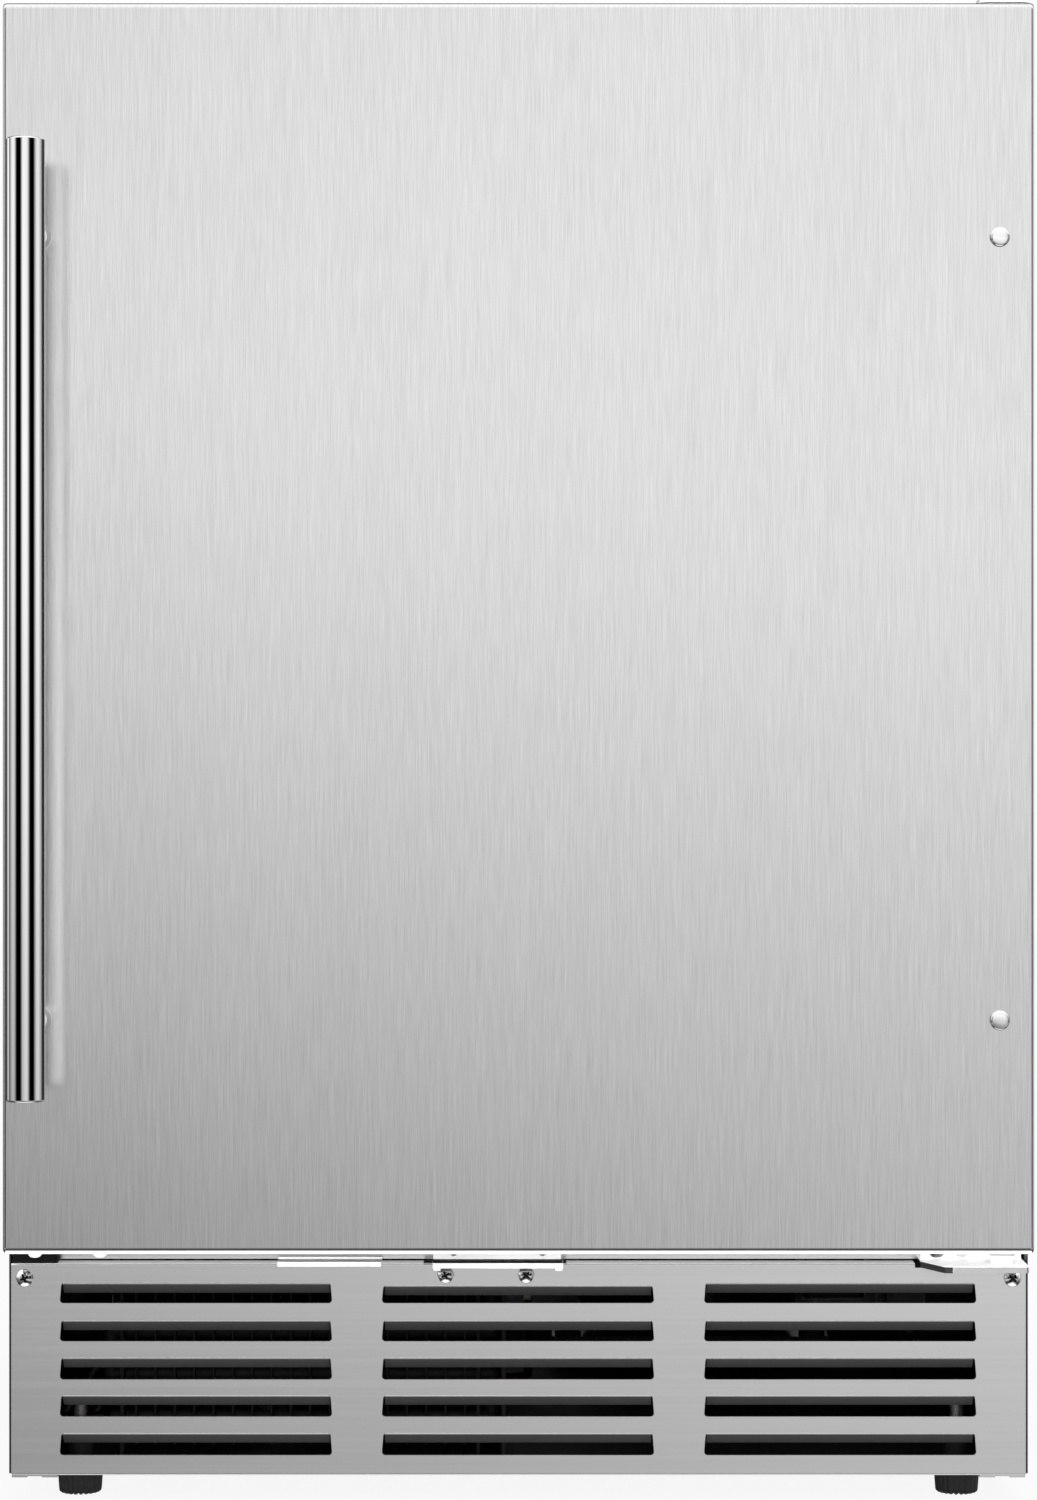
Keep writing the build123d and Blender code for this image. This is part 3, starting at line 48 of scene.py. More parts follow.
# ------------------------------------------------------------------ materials
class Mat:
    """A Principled material and small helpers for its node tree."""

    def __init__(self, name, color, metallic, roughness, **sockets):
        self.m = bpy.data.materials.new(name)
        self.m.use_nodes = True
        self.t = self.m.node_tree
        self.b = self.t.nodes["Principled BSDF"]
        self.color = color
        self.b.inputs["Base Color"].default_value = (*color, 1)
        self.b.inputs["Metallic"].default_value = metallic
        self.b.inputs["Roughness"].default_value = roughness
        for key, value in sockets.items():
            self.b.inputs[key.replace("_", " ")].default_value = value
        self.coord = self.node("ShaderNodeTexCoord").outputs["Object"]
        self.normal = None

    def node(self, kind, **props):
        n = self.t.nodes.new(kind)
        for key, value in props.items():
            setattr(n, key, value)
        return n

    def link(self, a, b):
        self.t.links.new(a, b)

    def scaled(self, scale, rotation=(0, 0, 0), location=(0, 0, 0)):
        n = self.node("ShaderNodeMapping")
        n.inputs["Scale"].default_value = scale
        n.inputs["Rotation"].default_value = rotation
        n.inputs["Location"].default_value = location
        self.link(self.coord, n.inputs["Vector"])
        return n.outputs["Vector"]

    def noise(self, scale, detail=3.0, rough=0.55, vector=None, distortion=0.0):
        n = self.node("ShaderNodeTexNoise")
        n.inputs["Scale"].default_value = scale
        n.inputs["Detail"].default_value = detail
        n.inputs["Roughness"].default_value = rough
        n.inputs["Distortion"].default_value = distortion
        self.link(vector or self.coord, n.inputs["Vector"])
        return n.outputs["Fac"]

    def voronoi(self, scale, vector=None, feature="F1", output="Distance"):
        n = self.node("ShaderNodeTexVoronoi", feature=feature)
        n.inputs["Scale"].default_value = scale
        self.link(vector or self.coord, n.inputs["Vector"])
        return n.outputs[output]

    def remap(self, value, lo, hi, to_lo, to_hi, smooth=False):
        n = self.node("ShaderNodeMapRange")
        if smooth:
            n.interpolation_type = "SMOOTHSTEP"
        n.inputs["From Min"].default_value = lo
        n.inputs["From Max"].default_value = hi
        n.inputs["To Min"].default_value = to_lo
        n.inputs["To Max"].default_value = to_hi
        self.link(value, n.inputs["Value"])
        return n.outputs["Result"]

    def math(self, op, a, b=None, clamp=False):
        n = self.node("ShaderNodeMath", operation=op, use_clamp=clamp)
        for i, v in enumerate((a, b)):
            if v is None:
                continue
            if isinstance(v, (int, float)):
                n.inputs[i].default_value = v
            else:
                self.link(v, n.inputs[i])
        return n.outputs[0]

    def mix(self, fac, a, b):
        n = self.node("ShaderNodeMix", data_type="RGBA")
        self.link(fac, n.inputs["Factor"])
        for key, v in (("A", a), ("B", b)):
            sock = [s for s in n.inputs if s.name == key and s.type == "RGBA"][0]
            if isinstance(v, tuple):
                sock.default_value = (*v, 1)
            else:
                self.link(v, sock)
        return [s for s in n.outputs if s.type == "RGBA"][0]

    def tint(self, fac, dark, light):
        """Base colour runs between two multiples of the material's colour."""
        c = self.mix(
            fac,
            tuple(min(1.0, v * dark) for v in self.color),
            tuple(min(1.0, v * light) for v in self.color),
        )
        self.link(c, self.b.inputs["Base Color"])
        return c

    def rough(self, value):
        self.link(value, self.b.inputs["Roughness"])

    def bump(self, height, strength, distance):
        n = self.node("ShaderNodeBump")
        n.inputs["Strength"].default_value = strength
        n.inputs["Distance"].default_value = distance
        self.link(height, n.inputs["Height"])
        if self.normal is not None:
            self.link(self.normal, n.inputs["Normal"])
        self.normal = n.outputs["Normal"]
        self.link(self.normal, self.b.inputs["Normal"])


def brushed(name, color, rough, along="Z", aniso=0.6, grain=1.0, streak=1.0, length=1.0):
    """Brushed sheet: fine lines along one axis, with slow variation across them."""
    m = Mat(name, color, 1.0, rough, Anisotropic=aniso)

    def across(f, l):
        return {"Z": (f, f, l / length), "X": (l / length, f, f), "Y": (f, l / length, f)}[along]

    a = m.noise(1.0, 1.0, 0.5, m.scaled(across(2300, 40.0)))
    b = m.noise(1.0, 1.0, 0.5, m.scaled(across(1300, 22.0), location=(3.1, 1.7, 0.4)))
    c = m.noise(1.0, 2.0, 0.5, m.scaled(across(80, 2.4), location=(7.7, 2.9, 1.4)))
    cloud = m.noise(7.0, 2.0, 0.5)
    both = m.math("ADD", m.math("MULTIPLY", a, 0.66), m.math("MULTIPLY", b, 0.34))
    lines = m.math("ADD", m.math("MULTIPLY", both, 0.93), m.math("MULTIPLY", c, 0.07))
    m.tint(m.remap(lines, 0.3, 0.7, 0, 1), 1 - 0.10 * grain, 1 + 0.10 * grain)
    worn = m.math("ADD", m.math("MULTIPLY", lines, 0.7), m.math("MULTIPLY", cloud, 0.3))
    m.rough(m.remap(worn, 0.3, 0.7, rough - 0.03 * streak, rough + 0.04 * streak))
    m.bump(both, 0.04 * min(grain, 1.0), 0.00006)
    if aniso:
        axis = {"Z": (0, 0, 1), "X": (1, 0, 0), "Y": (0, 1, 0)}[along]
        t = m.node("ShaderNodeCombineXYZ")
        for i in range(3):
            t.inputs[i].default_value = axis[i]
        m.link(t.outputs[0], m.b.inputs["Tangent"])
        m.b.inputs["Anisotropic Rotation"].default_value = 0.25
    return m.m


def polished(name, color, rough, dirt=0.5):
    """Plated or polished metal with faint wipe marks."""
    m = Mat(name, color, 1.0, rough)
    wipe = m.noise(26.0, 5.0, 0.6, m.scaled((1, 1, 0.35)))
    fine = m.noise(900.0, 2.0, 0.5)
    m.rough(m.remap(m.math("ADD", m.math("MULTIPLY", wipe, 0.8), m.math("MULTIPLY", fine, 0.2)), 0.35, 0.7, rough, rough + 0.07 * dirt))
    m.tint(m.remap(wipe, 0.3, 0.7, 0, 1), 0.965, 1.02)
    m.bump(fine, 0.02 * dirt, 0.00005)
    return m.m


def bar_chrome(name, color, rough, y_mid):
    """Bright tube, polished all round but for its satin rear, which faces the door."""
    m = Mat(name, color, 1.0, rough)
    wipe = m.noise(26.0, 5.0, 0.6, m.scaled((1, 1, 0.35)))
    fine = m.noise(900.0, 2.0, 0.5)
    sep = m.node("ShaderNodeSeparateXYZ")
    m.link(m.coord, sep.inputs[0])
    rear = m.remap(sep.outputs[1], y_mid + 0.0015, y_mid + 0.006, 0, 1, True)
    gloss = m.remap(m.math("ADD", m.math("MULTIPLY", wipe, 0.8), m.math("MULTIPLY", fine, 0.2)), 0.35, 0.7, rough, rough + 0.012)
    m.rough(m.math("ADD", gloss, m.math("MULTIPLY", rear, 0.42)))
    m.tint(m.remap(wipe, 0.3, 0.7, 0, 1), 0.98, 1.01)
    m.bump(fine, 0.004, 0.00005)
    return m.m


def powder(name, color, rough, scale=1400.0, strength=0.25):
    """Powder coat: fine orange peel, slightly uneven gloss."""
    m = Mat(name, color, 0.0, rough)
    m.b.inputs["Specular IOR Level"].default_value = 0.5
    peel = m.noise(scale, 3.0, 0.55)
    cloud = m.noise(9.0, 3.0, 0.5)
    m.tint(m.remap(cloud, 0.3, 0.7, 0, 1), 0.85, 1.18)
    m.rough(m.remap(m.math("ADD", m.math("MULTIPLY", peel, 0.5), m.math("MULTIPLY", cloud, 0.5)), 0.35, 0.65, rough - 0.05, rough + 0.08))
    m.bump(peel, strength, 0.00012)
    return m.m


def plastic(name, color, rough, scale=1800.0, strength=0.18, metallic=0.0, vary=0.05, sub=0.0):
    """Moulded plastic: a fine spark-eroded texture and a slow colour drift."""
    m = Mat(name, color, metallic, rough)
    grain = m.voronoi(scale)
    cloud = m.noise(11.0, 4.0, 0.55)
    m.tint(m.remap(cloud, 0.3, 0.7, 0, 1), 1 - vary, 1 + vary)
    m.rough(m.remap(m.math("ADD", m.math("MULTIPLY", grain, 0.5), m.math("MULTIPLY", cloud, 0.5)), 0.2, 0.7, rough - 0.05, rough + 0.07))
    m.bump(grain, strength, 0.00006)
    if sub:
        m.b.inputs["Subsurface Weight"].default_value = sub
        m.b.inputs["Subsurface Scale"].default_value = 0.004
    return m.m


def galvanised(name, color, rough):
    """Zinc-coated sheet with its spangle."""
    m = Mat(name, color, 0.95, rough)
    v = m.voronoi(85.0, m.scaled((1, 1, 1)), output="Color")
    sep = m.node("ShaderNodeSeparateColor")
    m.link(v, sep.inputs[0])
    cell = sep.outputs[0]
    edge = m.noise(240.0, 4.0, 0.6)
    both = m.math("ADD", m.math("MULTIPLY", cell, 0.65), m.math("MULTIPLY", edge, 0.35))
    m.tint(m.remap(both, 0.1, 0.9, 0, 1), 0.84, 1.12)
    m.rough(m.remap(both, 0.1, 0.9, rough - 0.09, rough + 0.1))
    m.bump(edge, 0.08, 0.0001)
    return m.m


def rubber(name, color, rough):
    m = Mat(name, color, 0.0, rough)
    fine = m.noise(2200.0, 3.0, 0.6)
    cloud = m.noise(30.0, 4.0, 0.6)
    m.tint(m.remap(cloud, 0.3, 0.7, 0, 1), 0.8, 1.35)
    m.rough(m.remap(m.math("ADD", m.math("MULTIPLY", fine, 0.4), m.math("MULTIPLY", cloud, 0.6)), 0.3, 0.7, rough - 0.06, rough + 0.1))
    m.bump(fine, 0.2, 0.00008)
    return m.m


def foam(name, color):
    m = Mat(name, color, 0.0, 0.85)
    cells = m.voronoi(900.0)
    cloud = m.noise(14.0, 5.0, 0.6)
    m.tint(m.remap(cloud, 0.3, 0.7, 0, 1), 0.86, 1.1)
    m.rough(m.remap(cells, 0.0, 0.8, 0.75, 0.95))
    m.bump(cells, 0.5, 0.0003)
    return m.m


def copper(name, color, rough):
    m = Mat(name, color, 1.0, rough)
    cloud = m.noise(60.0, 5.0, 0.65)
    fine = m.noise(1200.0, 2.0, 0.5)
    m.tint(m.remap(cloud, 0.3, 0.7, 0, 1), 0.62, 1.08)
    m.rough(m.remap(cloud, 0.3, 0.7, rough, rough + 0.18))
    m.bump(fine, 0.06, 0.00005)
    return m.m


def lens(name, color):
    m = Mat(name, color, 0.0, 0.22, Transmission_Weight=0.35, IOR=1.49)
    ribs = m.node("ShaderNodeTexWave", wave_type="BANDS", bands_direction="X")
    ribs.inputs["Scale"].default_value = 110.0
    ribs.inputs["Distortion"].default_value = 0.0
    m.link(m.coord, ribs.inputs["Vector"])
    cloud = m.noise(40.0, 3.0, 0.5)
    m.tint(m.remap(cloud, 0.3, 0.7, 0, 1), 0.94, 1.03)
    m.rough(m.remap(cloud, 0.3, 0.7, 0.18, 0.28))
    m.bump(ribs.outputs["Fac"], 0.35, 0.0004)
    return m.m


def plug_screw(name, x_mid):
    """Screws of the door's lower edge: on the left a pale coat as painted highlight, on the right dark metal as
    painted shade.
    """
    m = Mat(name, (0.9, 0.9, 0.9), 0.0, 0.35)
    fine = m.noise(1200.0, 3.0, 0.5)
    sep = m.node("ShaderNodeSeparateXYZ")
    m.link(m.coord, sep.inputs[0])
    metal_zone = m.remap(sep.outputs[0], x_mid - 0.01, x_mid + 0.01, 0, 1)
    # painted highlight on the left screws, painted shade on the right ones
    m.link(m.mix(metal_zone, (0.90, 0.90, 0.90), (0.30, 0.30, 0.30)), m.b.inputs["Base Color"])
    m.link(metal_zone, m.b.inputs["Metallic"])
    m.rough(m.remap(fine, 0.3, 0.7, 0.30, 0.42))
    m.bump(fine, 0.05, 0.00004)
    return m.m


def hinge_plate(name, z_top):
    """Pale plate top as painted highlight and its cut left arm end near black as painted reflection; the faces below
    its top face are steel.
    """
    m = Mat(name, (0.88, 0.88, 0.88), 0.0, 0.42)
    peel = m.noise(1400.0, 3.0, 0.55)
    cloud = m.noise(60.0, 3.0, 0.5)
    sep = m.node("ShaderNodeSeparateXYZ")
    m.link(m.coord, sep.inputs[0])
    metal_zone = m.remap(sep.outputs[2], z_top - 0.00015, z_top - 0.00035, 0, 1)
    # painted highlight: the top face is pale
    painted_pale_top = m.mix(m.remap(cloud, 0.3, 0.7, 0, 1), (0.86, 0.86, 0.86), (0.90, 0.90, 0.90))
    steel = m.mix(m.remap(cloud, 0.3, 0.7, 0, 1), (0.88, 0.88, 0.88), (0.95, 0.95, 0.95))
    arm = m.math("MULTIPLY", metal_zone, m.remap(sep.outputs[0], 0.2512, 0.2506, 0, 1))
    # painted reflection: the cut left end of the arm is near black
    painted_dark_reflection = m.mix(m.remap(cloud, 0.3, 0.7, 0, 1), (0.010, 0.010, 0.010), (0.018, 0.018, 0.018))
    m.link(m.mix(arm, m.mix(metal_zone, painted_pale_top, steel), painted_dark_reflection), m.b.inputs["Base Color"])
    m.link(m.math("SUBTRACT", metal_zone, arm), m.b.inputs["Metallic"])
    m.rough(m.math("SUBTRACT", m.remap(peel, 0.3, 0.7, 0.38, 0.50), m.math("MULTIPLY", metal_zone, 0.22)))
    m.bump(peel, 0.12, 0.00008)
    return m.m


def grille_steel(name, color, rough):
    """Satin sheet, pressed and bent; behind its front face the louvres are darkened as painted shade, and its top
    flange is pale as painted light.
    """
    m = Mat(name, color, 1.0, rough, Anisotropic=0.25)
    a = m.noise(1.0, 2.0, 0.5, m.scaled((1.6, 500, 500)))
    b = m.noise(1.0, 2.0, 0.6, m.scaled((0.8, 120, 120), location=(1.1, 4.7, 0.3)))
    cloud = m.noise(5.0, 3.0, 0.5)
    both = m.math("ADD", m.math("MULTIPLY", a, 0.5), m.math("MULTIPLY", b, 0.5))
    sep = m.node("ShaderNodeSeparateXYZ")
    m.link(m.coord, sep.inputs[0])
    # painted shade: the louvres behind the front face are darkened
    inside = m.remap(sep.outputs[1], -0.2214, -0.2208, 0, 1)
    below = m.remap(sep.outputs[2], 0.1386, 0.1382, 0, 1)
    above = m.remap(sep.outputs[2], 0.0180, 0.0184, 0, 1)
    dark = m.math("MULTIPLY", m.math("MULTIPLY", inside, below), above)
    steel = m.mix(
        m.remap(both, 0.3, 0.7, 0, 1),
        tuple(v * 0.965 for v in color), tuple(min(1, v * 1.03) for v in color),
    )
    louvre_painted_shade = m.mix(m.remap(cloud, 0.3, 0.7, 0, 1), (0.047, 0.047, 0.048), (0.055, 0.055, 0.056))
    # painted light: the top flange is pale
    top = m.remap(sep.outputs[2], 0.1398, 0.1400, 0, 1)
    painted_top_light = m.mix(m.remap(cloud, 0.3, 0.7, 0, 1), (0.66, 0.66, 0.66), (0.70, 0.70, 0.70))
    m.link(m.mix(top, m.mix(dark, steel, louvre_painted_shade), painted_top_light), m.b.inputs["Base Color"])
    m.link(m.math("SUBTRACT", m.math("SUBTRACT", 1.0, dark), top), m.b.inputs["Metallic"])
    gloss = m.remap(m.math("ADD", m.math("MULTIPLY", both, 0.5), m.math("MULTIPLY", cloud, 0.5)), 0.3, 0.7, rough - 0.03, rough + 0.04)
    m.rough(m.math("ADD", gloss, m.math("MULTIPLY", dark, 0.35)))
    m.bump(both, 0.02, 0.00005)
    t = m.node("ShaderNodeCombineXYZ")
    t.inputs[0].default_value = 1.0
    m.link(t.outputs[0], m.b.inputs["Tangent"])
    m.b.inputs["Anisotropic Rotation"].default_value = 0.25
    return m.m


M = {
    "door_steel": brushed("stainless_door", (0.710, 0.710, 0.710), 0.17, "Z", 0.0, 1.2, 0.4),
    "grille_steel": grille_steel("stainless_grille", (0.92, 0.92, 0.92), 0.22),
    "rail_steel": brushed("stainless_rail", (0.92, 0.92, 0.92), 0.24, "X", 0.2, 0.25, 0.5),
    "handle": bar_chrome("chrome_handle", (0.86, 0.86, 0.865), 0.02, -0.307),
    "post": bar_chrome("satin_post", (0.62, 0.62, 0.62), 0.30, -0.9),
    "chrome": polished("chrome_small", (0.88, 0.88, 0.885), 0.05, 0.4),
    "bright": polished("nickel_bright", (0.90, 0.90, 0.90), 0.03, 0.25),
    # painted shade for the cross recesses of the screw heads
    "recess": polished("recess_painted_shade", (0.04, 0.04, 0.04), 0.2, 1.0),
    "hinge": polished("nickel_plate", (0.80, 0.80, 0.795), 0.16, 0.6),
    "plug_screw": plug_screw("plug_screw_heads", 0.0),
    "hinge_lower": hinge_plate("hinge_plate_painted_highlight", 0.1418),
    "plate_white": powder("bright_zinc_flake", (0.60, 0.60, 0.60), 0.45),
    "zinc": galvanised("zinc_plate", (0.62, 0.61, 0.58), 0.34),
    "galv": galvanised("galvanised_sheet", (0.47, 0.48, 0.49), 0.42),
    "cabinet": powder("cabinet_powder", (0.016, 0.016, 0.017), 0.42),
    # painted shade: near-black sheet parts so the machine space behind the grille reads dark
    "machine_space_shade": powder("machine_space_painted_shade", (0.006, 0.006, 0.006), 0.6),
    "enamel": powder("compressor_enamel", (0.008, 0.008, 0.009), 0.22, 500.0, 0.12),
    "coil_black": powder("condenser_paint", (0.006, 0.006, 0.0065), 0.6),
    "liner": plastic("liner_white", (0.76, 0.77, 0.77), 0.32, 1200.0, 0.10, vary=0.03),
    "cover": plastic("cover_white", (0.72, 0.73, 0.73), 0.36, 1500.0, 0.14, vary=0.03),
    "black_plastic": plastic("black_plastic", (0.012, 0.012, 0.0125), 0.42),
    # near-black plastic of the hinge seat cover, also the painted shade strips under the keeper
    "seat_black_and_gap_shade": plastic("seat_cover_plastic_and_gap_shade", (0.003, 0.003, 0.003), 0.75),
    "foot": plastic("foot_plastic", (0.016, 0.016, 0.0165), 0.36, 1500.0, 0.2, vary=0.2),
    "bush": plastic("bush_plastic", (0.72, 0.71, 0.68), 0.4),
    # painted highlight along the door's rolled lower edge
    "hem_highlight": plastic("hem_highlight_strip", (0.90, 0.90, 0.90), 0.4, 1500.0, 0.05, vary=0.02),
    "gasket": rubber("gasket_rubber", (0.020, 0.020, 0.021), 0.55),
    "rubber": rubber("rubber_black", (0.010, 0.010, 0.010), 0.6),
    "foam": foam("foam_cream", (0.74, 0.66, 0.44)),
    "copper": copper("copper_pipe", (0.70, 0.34, 0.20), 0.24),
    # painted shade: the refrigerant lines are darkened copper
    "pipe_painted_shade": copper("pipe_painted_shade", (0.06, 0.035, 0.025), 0.4),
    "fins": brushed("aluminium_fins", (0.70, 0.71, 0.72), 0.35, "Z", 0.3, 0.8),
    "lens": lens("lens_frosted", (0.88, 0.89, 0.88)),
    "wire": polished("shelf_wire_chrome", (0.80, 0.80, 0.805), 0.08, 0.8),
    "print_grey": powder("dial_print", (0.10, 0.105, 0.11), 0.5),
    "pointer": powder("pointer_paint", (0.8, 0.8, 0.78), 0.4),
}

NODE_MAT = {
    "left_side_panel": "cabinet", "right_side_panel": "cabinet", "top_panel": "cabinet",
    # painted shade on base pan, step panel and foot brackets
    "bottom_rail": "rail_steel", "back_panel": "galv", "step_panel": "machine_space_shade", "base_pan": "machine_space_shade",
    "foot_brackets": "machine_space_shade", "rear_cover": "galv", "fan_shroud": "coil_black",
    "bracket_rivets": "zinc", "rear_cover_screws": "zinc", "insulation": "foam", "door_foam": "foam",
    "inner_liner": "liner", "door_liner": "liner", "evaporator_cover": "cover", "control_housing": "cover",
    "door_skin": "door_steel", "kick_grille": "grille_steel", "grille_screws": "chrome",
    "keeper_screws": "chrome", "hinge_screws": "chrome", "hole_plugs": "chrome", "door_plug_screws": "plug_screw",
    "lower_hinge_bracket": "hinge_lower", "upper_hinge_bracket": "plate_white", "lock_keeper": "plate_white",
    "door_sensor_bracket": "plate_white", "hinge_seat_cover": "seat_black_and_gap_shade", "relay_box": "black_plastic",
    "drip_tray": "black_plastic", "condenser_fan": "coil_black", "evaporator_fan": "black_plastic",
    "cord_inlet": "black_plastic", "thermostat_knob": "black_plastic", "evaporator_fan_motor": "zinc",
    "condenser_fan_motor": "enamel", "hinge_bushings": "bush", "door_gasket": "gasket",
    "compressor_grommets": "rubber", "foot_front_left": "foot", "foot_front_right": "foot",
    "foot_rear_left": "foot", "foot_rear_right": "foot", "handle_tube": "handle",
    "handle_end_caps": "handle", "handle_posts": "post", "lock_housing": "zinc",
    "lock_cylinder": "hinge", "lock_bolt": "zinc", "compressor": "enamel", "condenser": "coil_black",
    "evaporator_coil": "fins", "refrigerant_lines": "pipe_painted_shade", "filter_drier": "copper",
    "light_lens": "lens", "shelf_lower": "wire", "shelf_middle": "wire", "shelf_upper": "wire",
}
for name, obj in NODES.items():
    mat = M[NODE_MAT[name]]
    if not obj.material_slots:
        obj.data.materials.append(mat)
    for s in obj.material_slots:
        s.material = mat


# -------------------------------------------------------------- mesh helpers
def make(name, verts, faces, mat, body, slot, smooth=None):
    me = bpy.data.meshes.new(name)
    me.from_pydata(verts, [], faces)
    me.validate()
    me.update()
    o = bpy.data.objects.new(name, me)
    scene.collection.objects.link(o)
    me.materials.append(M[mat])
    if smooth is not None:
        for p in me.polygons:
            p.use_smooth = True
        with bpy.context.temp_override(object=o, active_object=o, selected_objects=[o], selected_editable_objects=[o]):
            me.set_sharp_from_angle(angle=math.radians(smooth))
    if body:
        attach(o, body)
    return o


def finish_mesh(bm, name, mats, body, replaces=(), smooth=40.0):
    """A bmesh becomes a piece on a CAD body."""
    bmesh.ops.recalc_face_normals(bm, faces=bm.faces)
    me = bpy.data.meshes.new(name)
    bm.to_mesh(me)
    bm.free()
    o = bpy.data.objects.new(name, me)
    scene.collection.objects.link(o)
    for k in mats:
        me.materials.append(M[k])
    for p in me.polygons:
        p.use_smooth = True
    with bpy.context.temp_override(object=o, active_object=o, selected_objects=[o], selected_editable_objects=[o]):
        me.set_sharp_from_angle(angle=math.radians(smooth))
    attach(o, body)
    if replaces:
        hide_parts(*replaces)
    return o


def lathe(bm, profile, at, axis="Z", seg=48, shape=None, mat=0):
    """Revolve (radius, height) points; shape(angle, r, h) may move each point."""
    rings = []
    for r, h in profile:
        ring = []
        if r <= 1e-9:
            ring = [None]
        for i in range(seg if r > 1e-9 else 1):
            a = 2 * math.pi * i / seg
            rr, hh = shape(a, r, h) if shape else (r, h)
            u, v = rr * math.cos(a), rr * math.sin(a)
            p = {"Z": (u, v, hh), "-Y": (u, -hh, v), "Y": (u, hh, v), "X": (hh, u, v)}[axis]
            vert = bm.verts.new((at[0] + p[0], at[1] + p[1], at[2] + p[2]))
            if r <= 1e-9:
                ring = [vert]
            else:
                ring.append(vert)
        rings.append(ring)
    for ra, rb in zip(rings, rings[1:]):
        n = max(len(ra), len(rb))
        for i in range(n):
            j = (i + 1) % n
            if len(ra) == 1:
                f = bm.faces.new((ra[0], rb[j], rb[i]))
            elif len(rb) == 1:
                f = bm.faces.new((ra[i], ra[j], rb[0]))
            else:
                f = bm.faces.new((ra[i], ra[j], rb[j], rb[i]))
            f.material_index = mat
    return rings


def block(bm, x0, x1, y0, y1, z0, z1, mat=0, bevel=0.0):
    """A plate or bar with its edges broken."""
    vs = [bm.verts.new((x, y, z)) for x in (x0, x1) for y in (y0, y1) for z in (z0, z1)]
    fs = [(0, 1, 3, 2), (4, 6, 7, 5), (0, 4, 5, 1), (2, 3, 7, 6), (0, 2, 6, 4), (1, 5, 7, 3)]
    faces = [bm.faces.new([vs[i] for i in f]) for f in fs]
    for f in faces:
        f.material_index = mat
    if bevel:
        edges = list({e for f in faces for e in f.edges})
        r = bmesh.ops.bevel(bm, geom=edges, offset=bevel, segments=2, profile=0.6, affect="EDGES", clamp_overlap=True)
        for f in r["faces"]:
            f.material_index = mat


def prism(bm, outline, x0, x1, mats=None, cap=0):
    """Extrude a closed (y, z) outline along X; mats gives a material per side."""
    a = [bm.verts.new((x0, y, z)) for y, z in outline]
    b = [bm.verts.new((x1, y, z)) for y, z in outline]
    n = len(outline)
    for i in range(n):
        j = (i + 1) % n
        f = bm.faces.new((a[i], a[j], b[j], b[i]))
        f.material_index = mats[i] if mats else 0
    for ring in (a, b):
        f = bm.faces.new(ring)
        f.material_index = cap


# ----------------------------------------------------------------- the feet
RIBS = 22


def foot(name, hand_row):
    lo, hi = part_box(name)
    cx, cy = (lo.x + hi.x) / 2, (lo.y + hi.y) / 2
    R = 13.55 * MM
    top = 15.6 * MM
    bm = bmesh.new()

    def ribbed(a, r, h):
        w = 0.5 + 0.5 * math.cos(a * RIBS)
        groove = (1 - w) ** 3
        if r > 0.88 * R:
            r -= 0.55 * MM * groove * min(1.0, max(0.0, (top - h) / (1.2 * MM)))
        if h < 1.3 * MM and r > 8 * MM:
            h += 0.95 * MM * groove ** 0.7
        return r, h

    prof = [(0, 0.9 * MM), (7.0 * MM, 0.9 * MM), (7.6 * MM, 0.35 * MM), (9.0 * MM, 0.05 * MM), (10.6 * MM, 0.05 * MM),
            (11.7 * MM, 0.35 * MM), (12.35 * MM, 1.0 * MM), (12.62 * MM, 2.0 * MM)]
    for k in range(1, 8):
        t = k / 7
        prof.append((12.62 * MM + (R - 12.62 * MM) * t, 2.0 * MM + (top - 2.9 * MM) * t))
    prof += [(R, top - 0.35 * MM), (R - 0.3 * MM, top), (9.0 * MM, top), (8.6 * MM, top - 0.6 * MM), (5.6 * MM, top - 0.6 * MM),
             (5.3 * MM, top)]
    lathe(bm, prof, (cx, cy, 0), "Z", RIBS * 8, ribbed)
    # threaded stud
    stud = [(5.3 * MM, top), (3.7 * MM, top)]
    z = top
    while z < hi.z - 1.2 * MM:
        stud += [(3.98 * MM, z + 0.3 * MM), (3.98 * MM, z + 0.5 * MM), (3.55 * MM, z + 0.95 * MM)]
        z += 1.25 * MM
    stud += [(3.5 * MM, hi.z - 0.3 * MM), (3.1 * MM, hi.z - 0.05 * MM), (0, hi.z - 0.05 * MM)]
    lathe(bm, stud, (cx, cy, 0), "Z", 32, None, 1)
    return finish_mesh(bm, name + "_ribbed", ["foot", "zinc"], name, (name,), 28)


for n in ("foot_front_left", "foot_front_right", "foot_rear_left", "foot_rear_right"):
    foot(n, n)


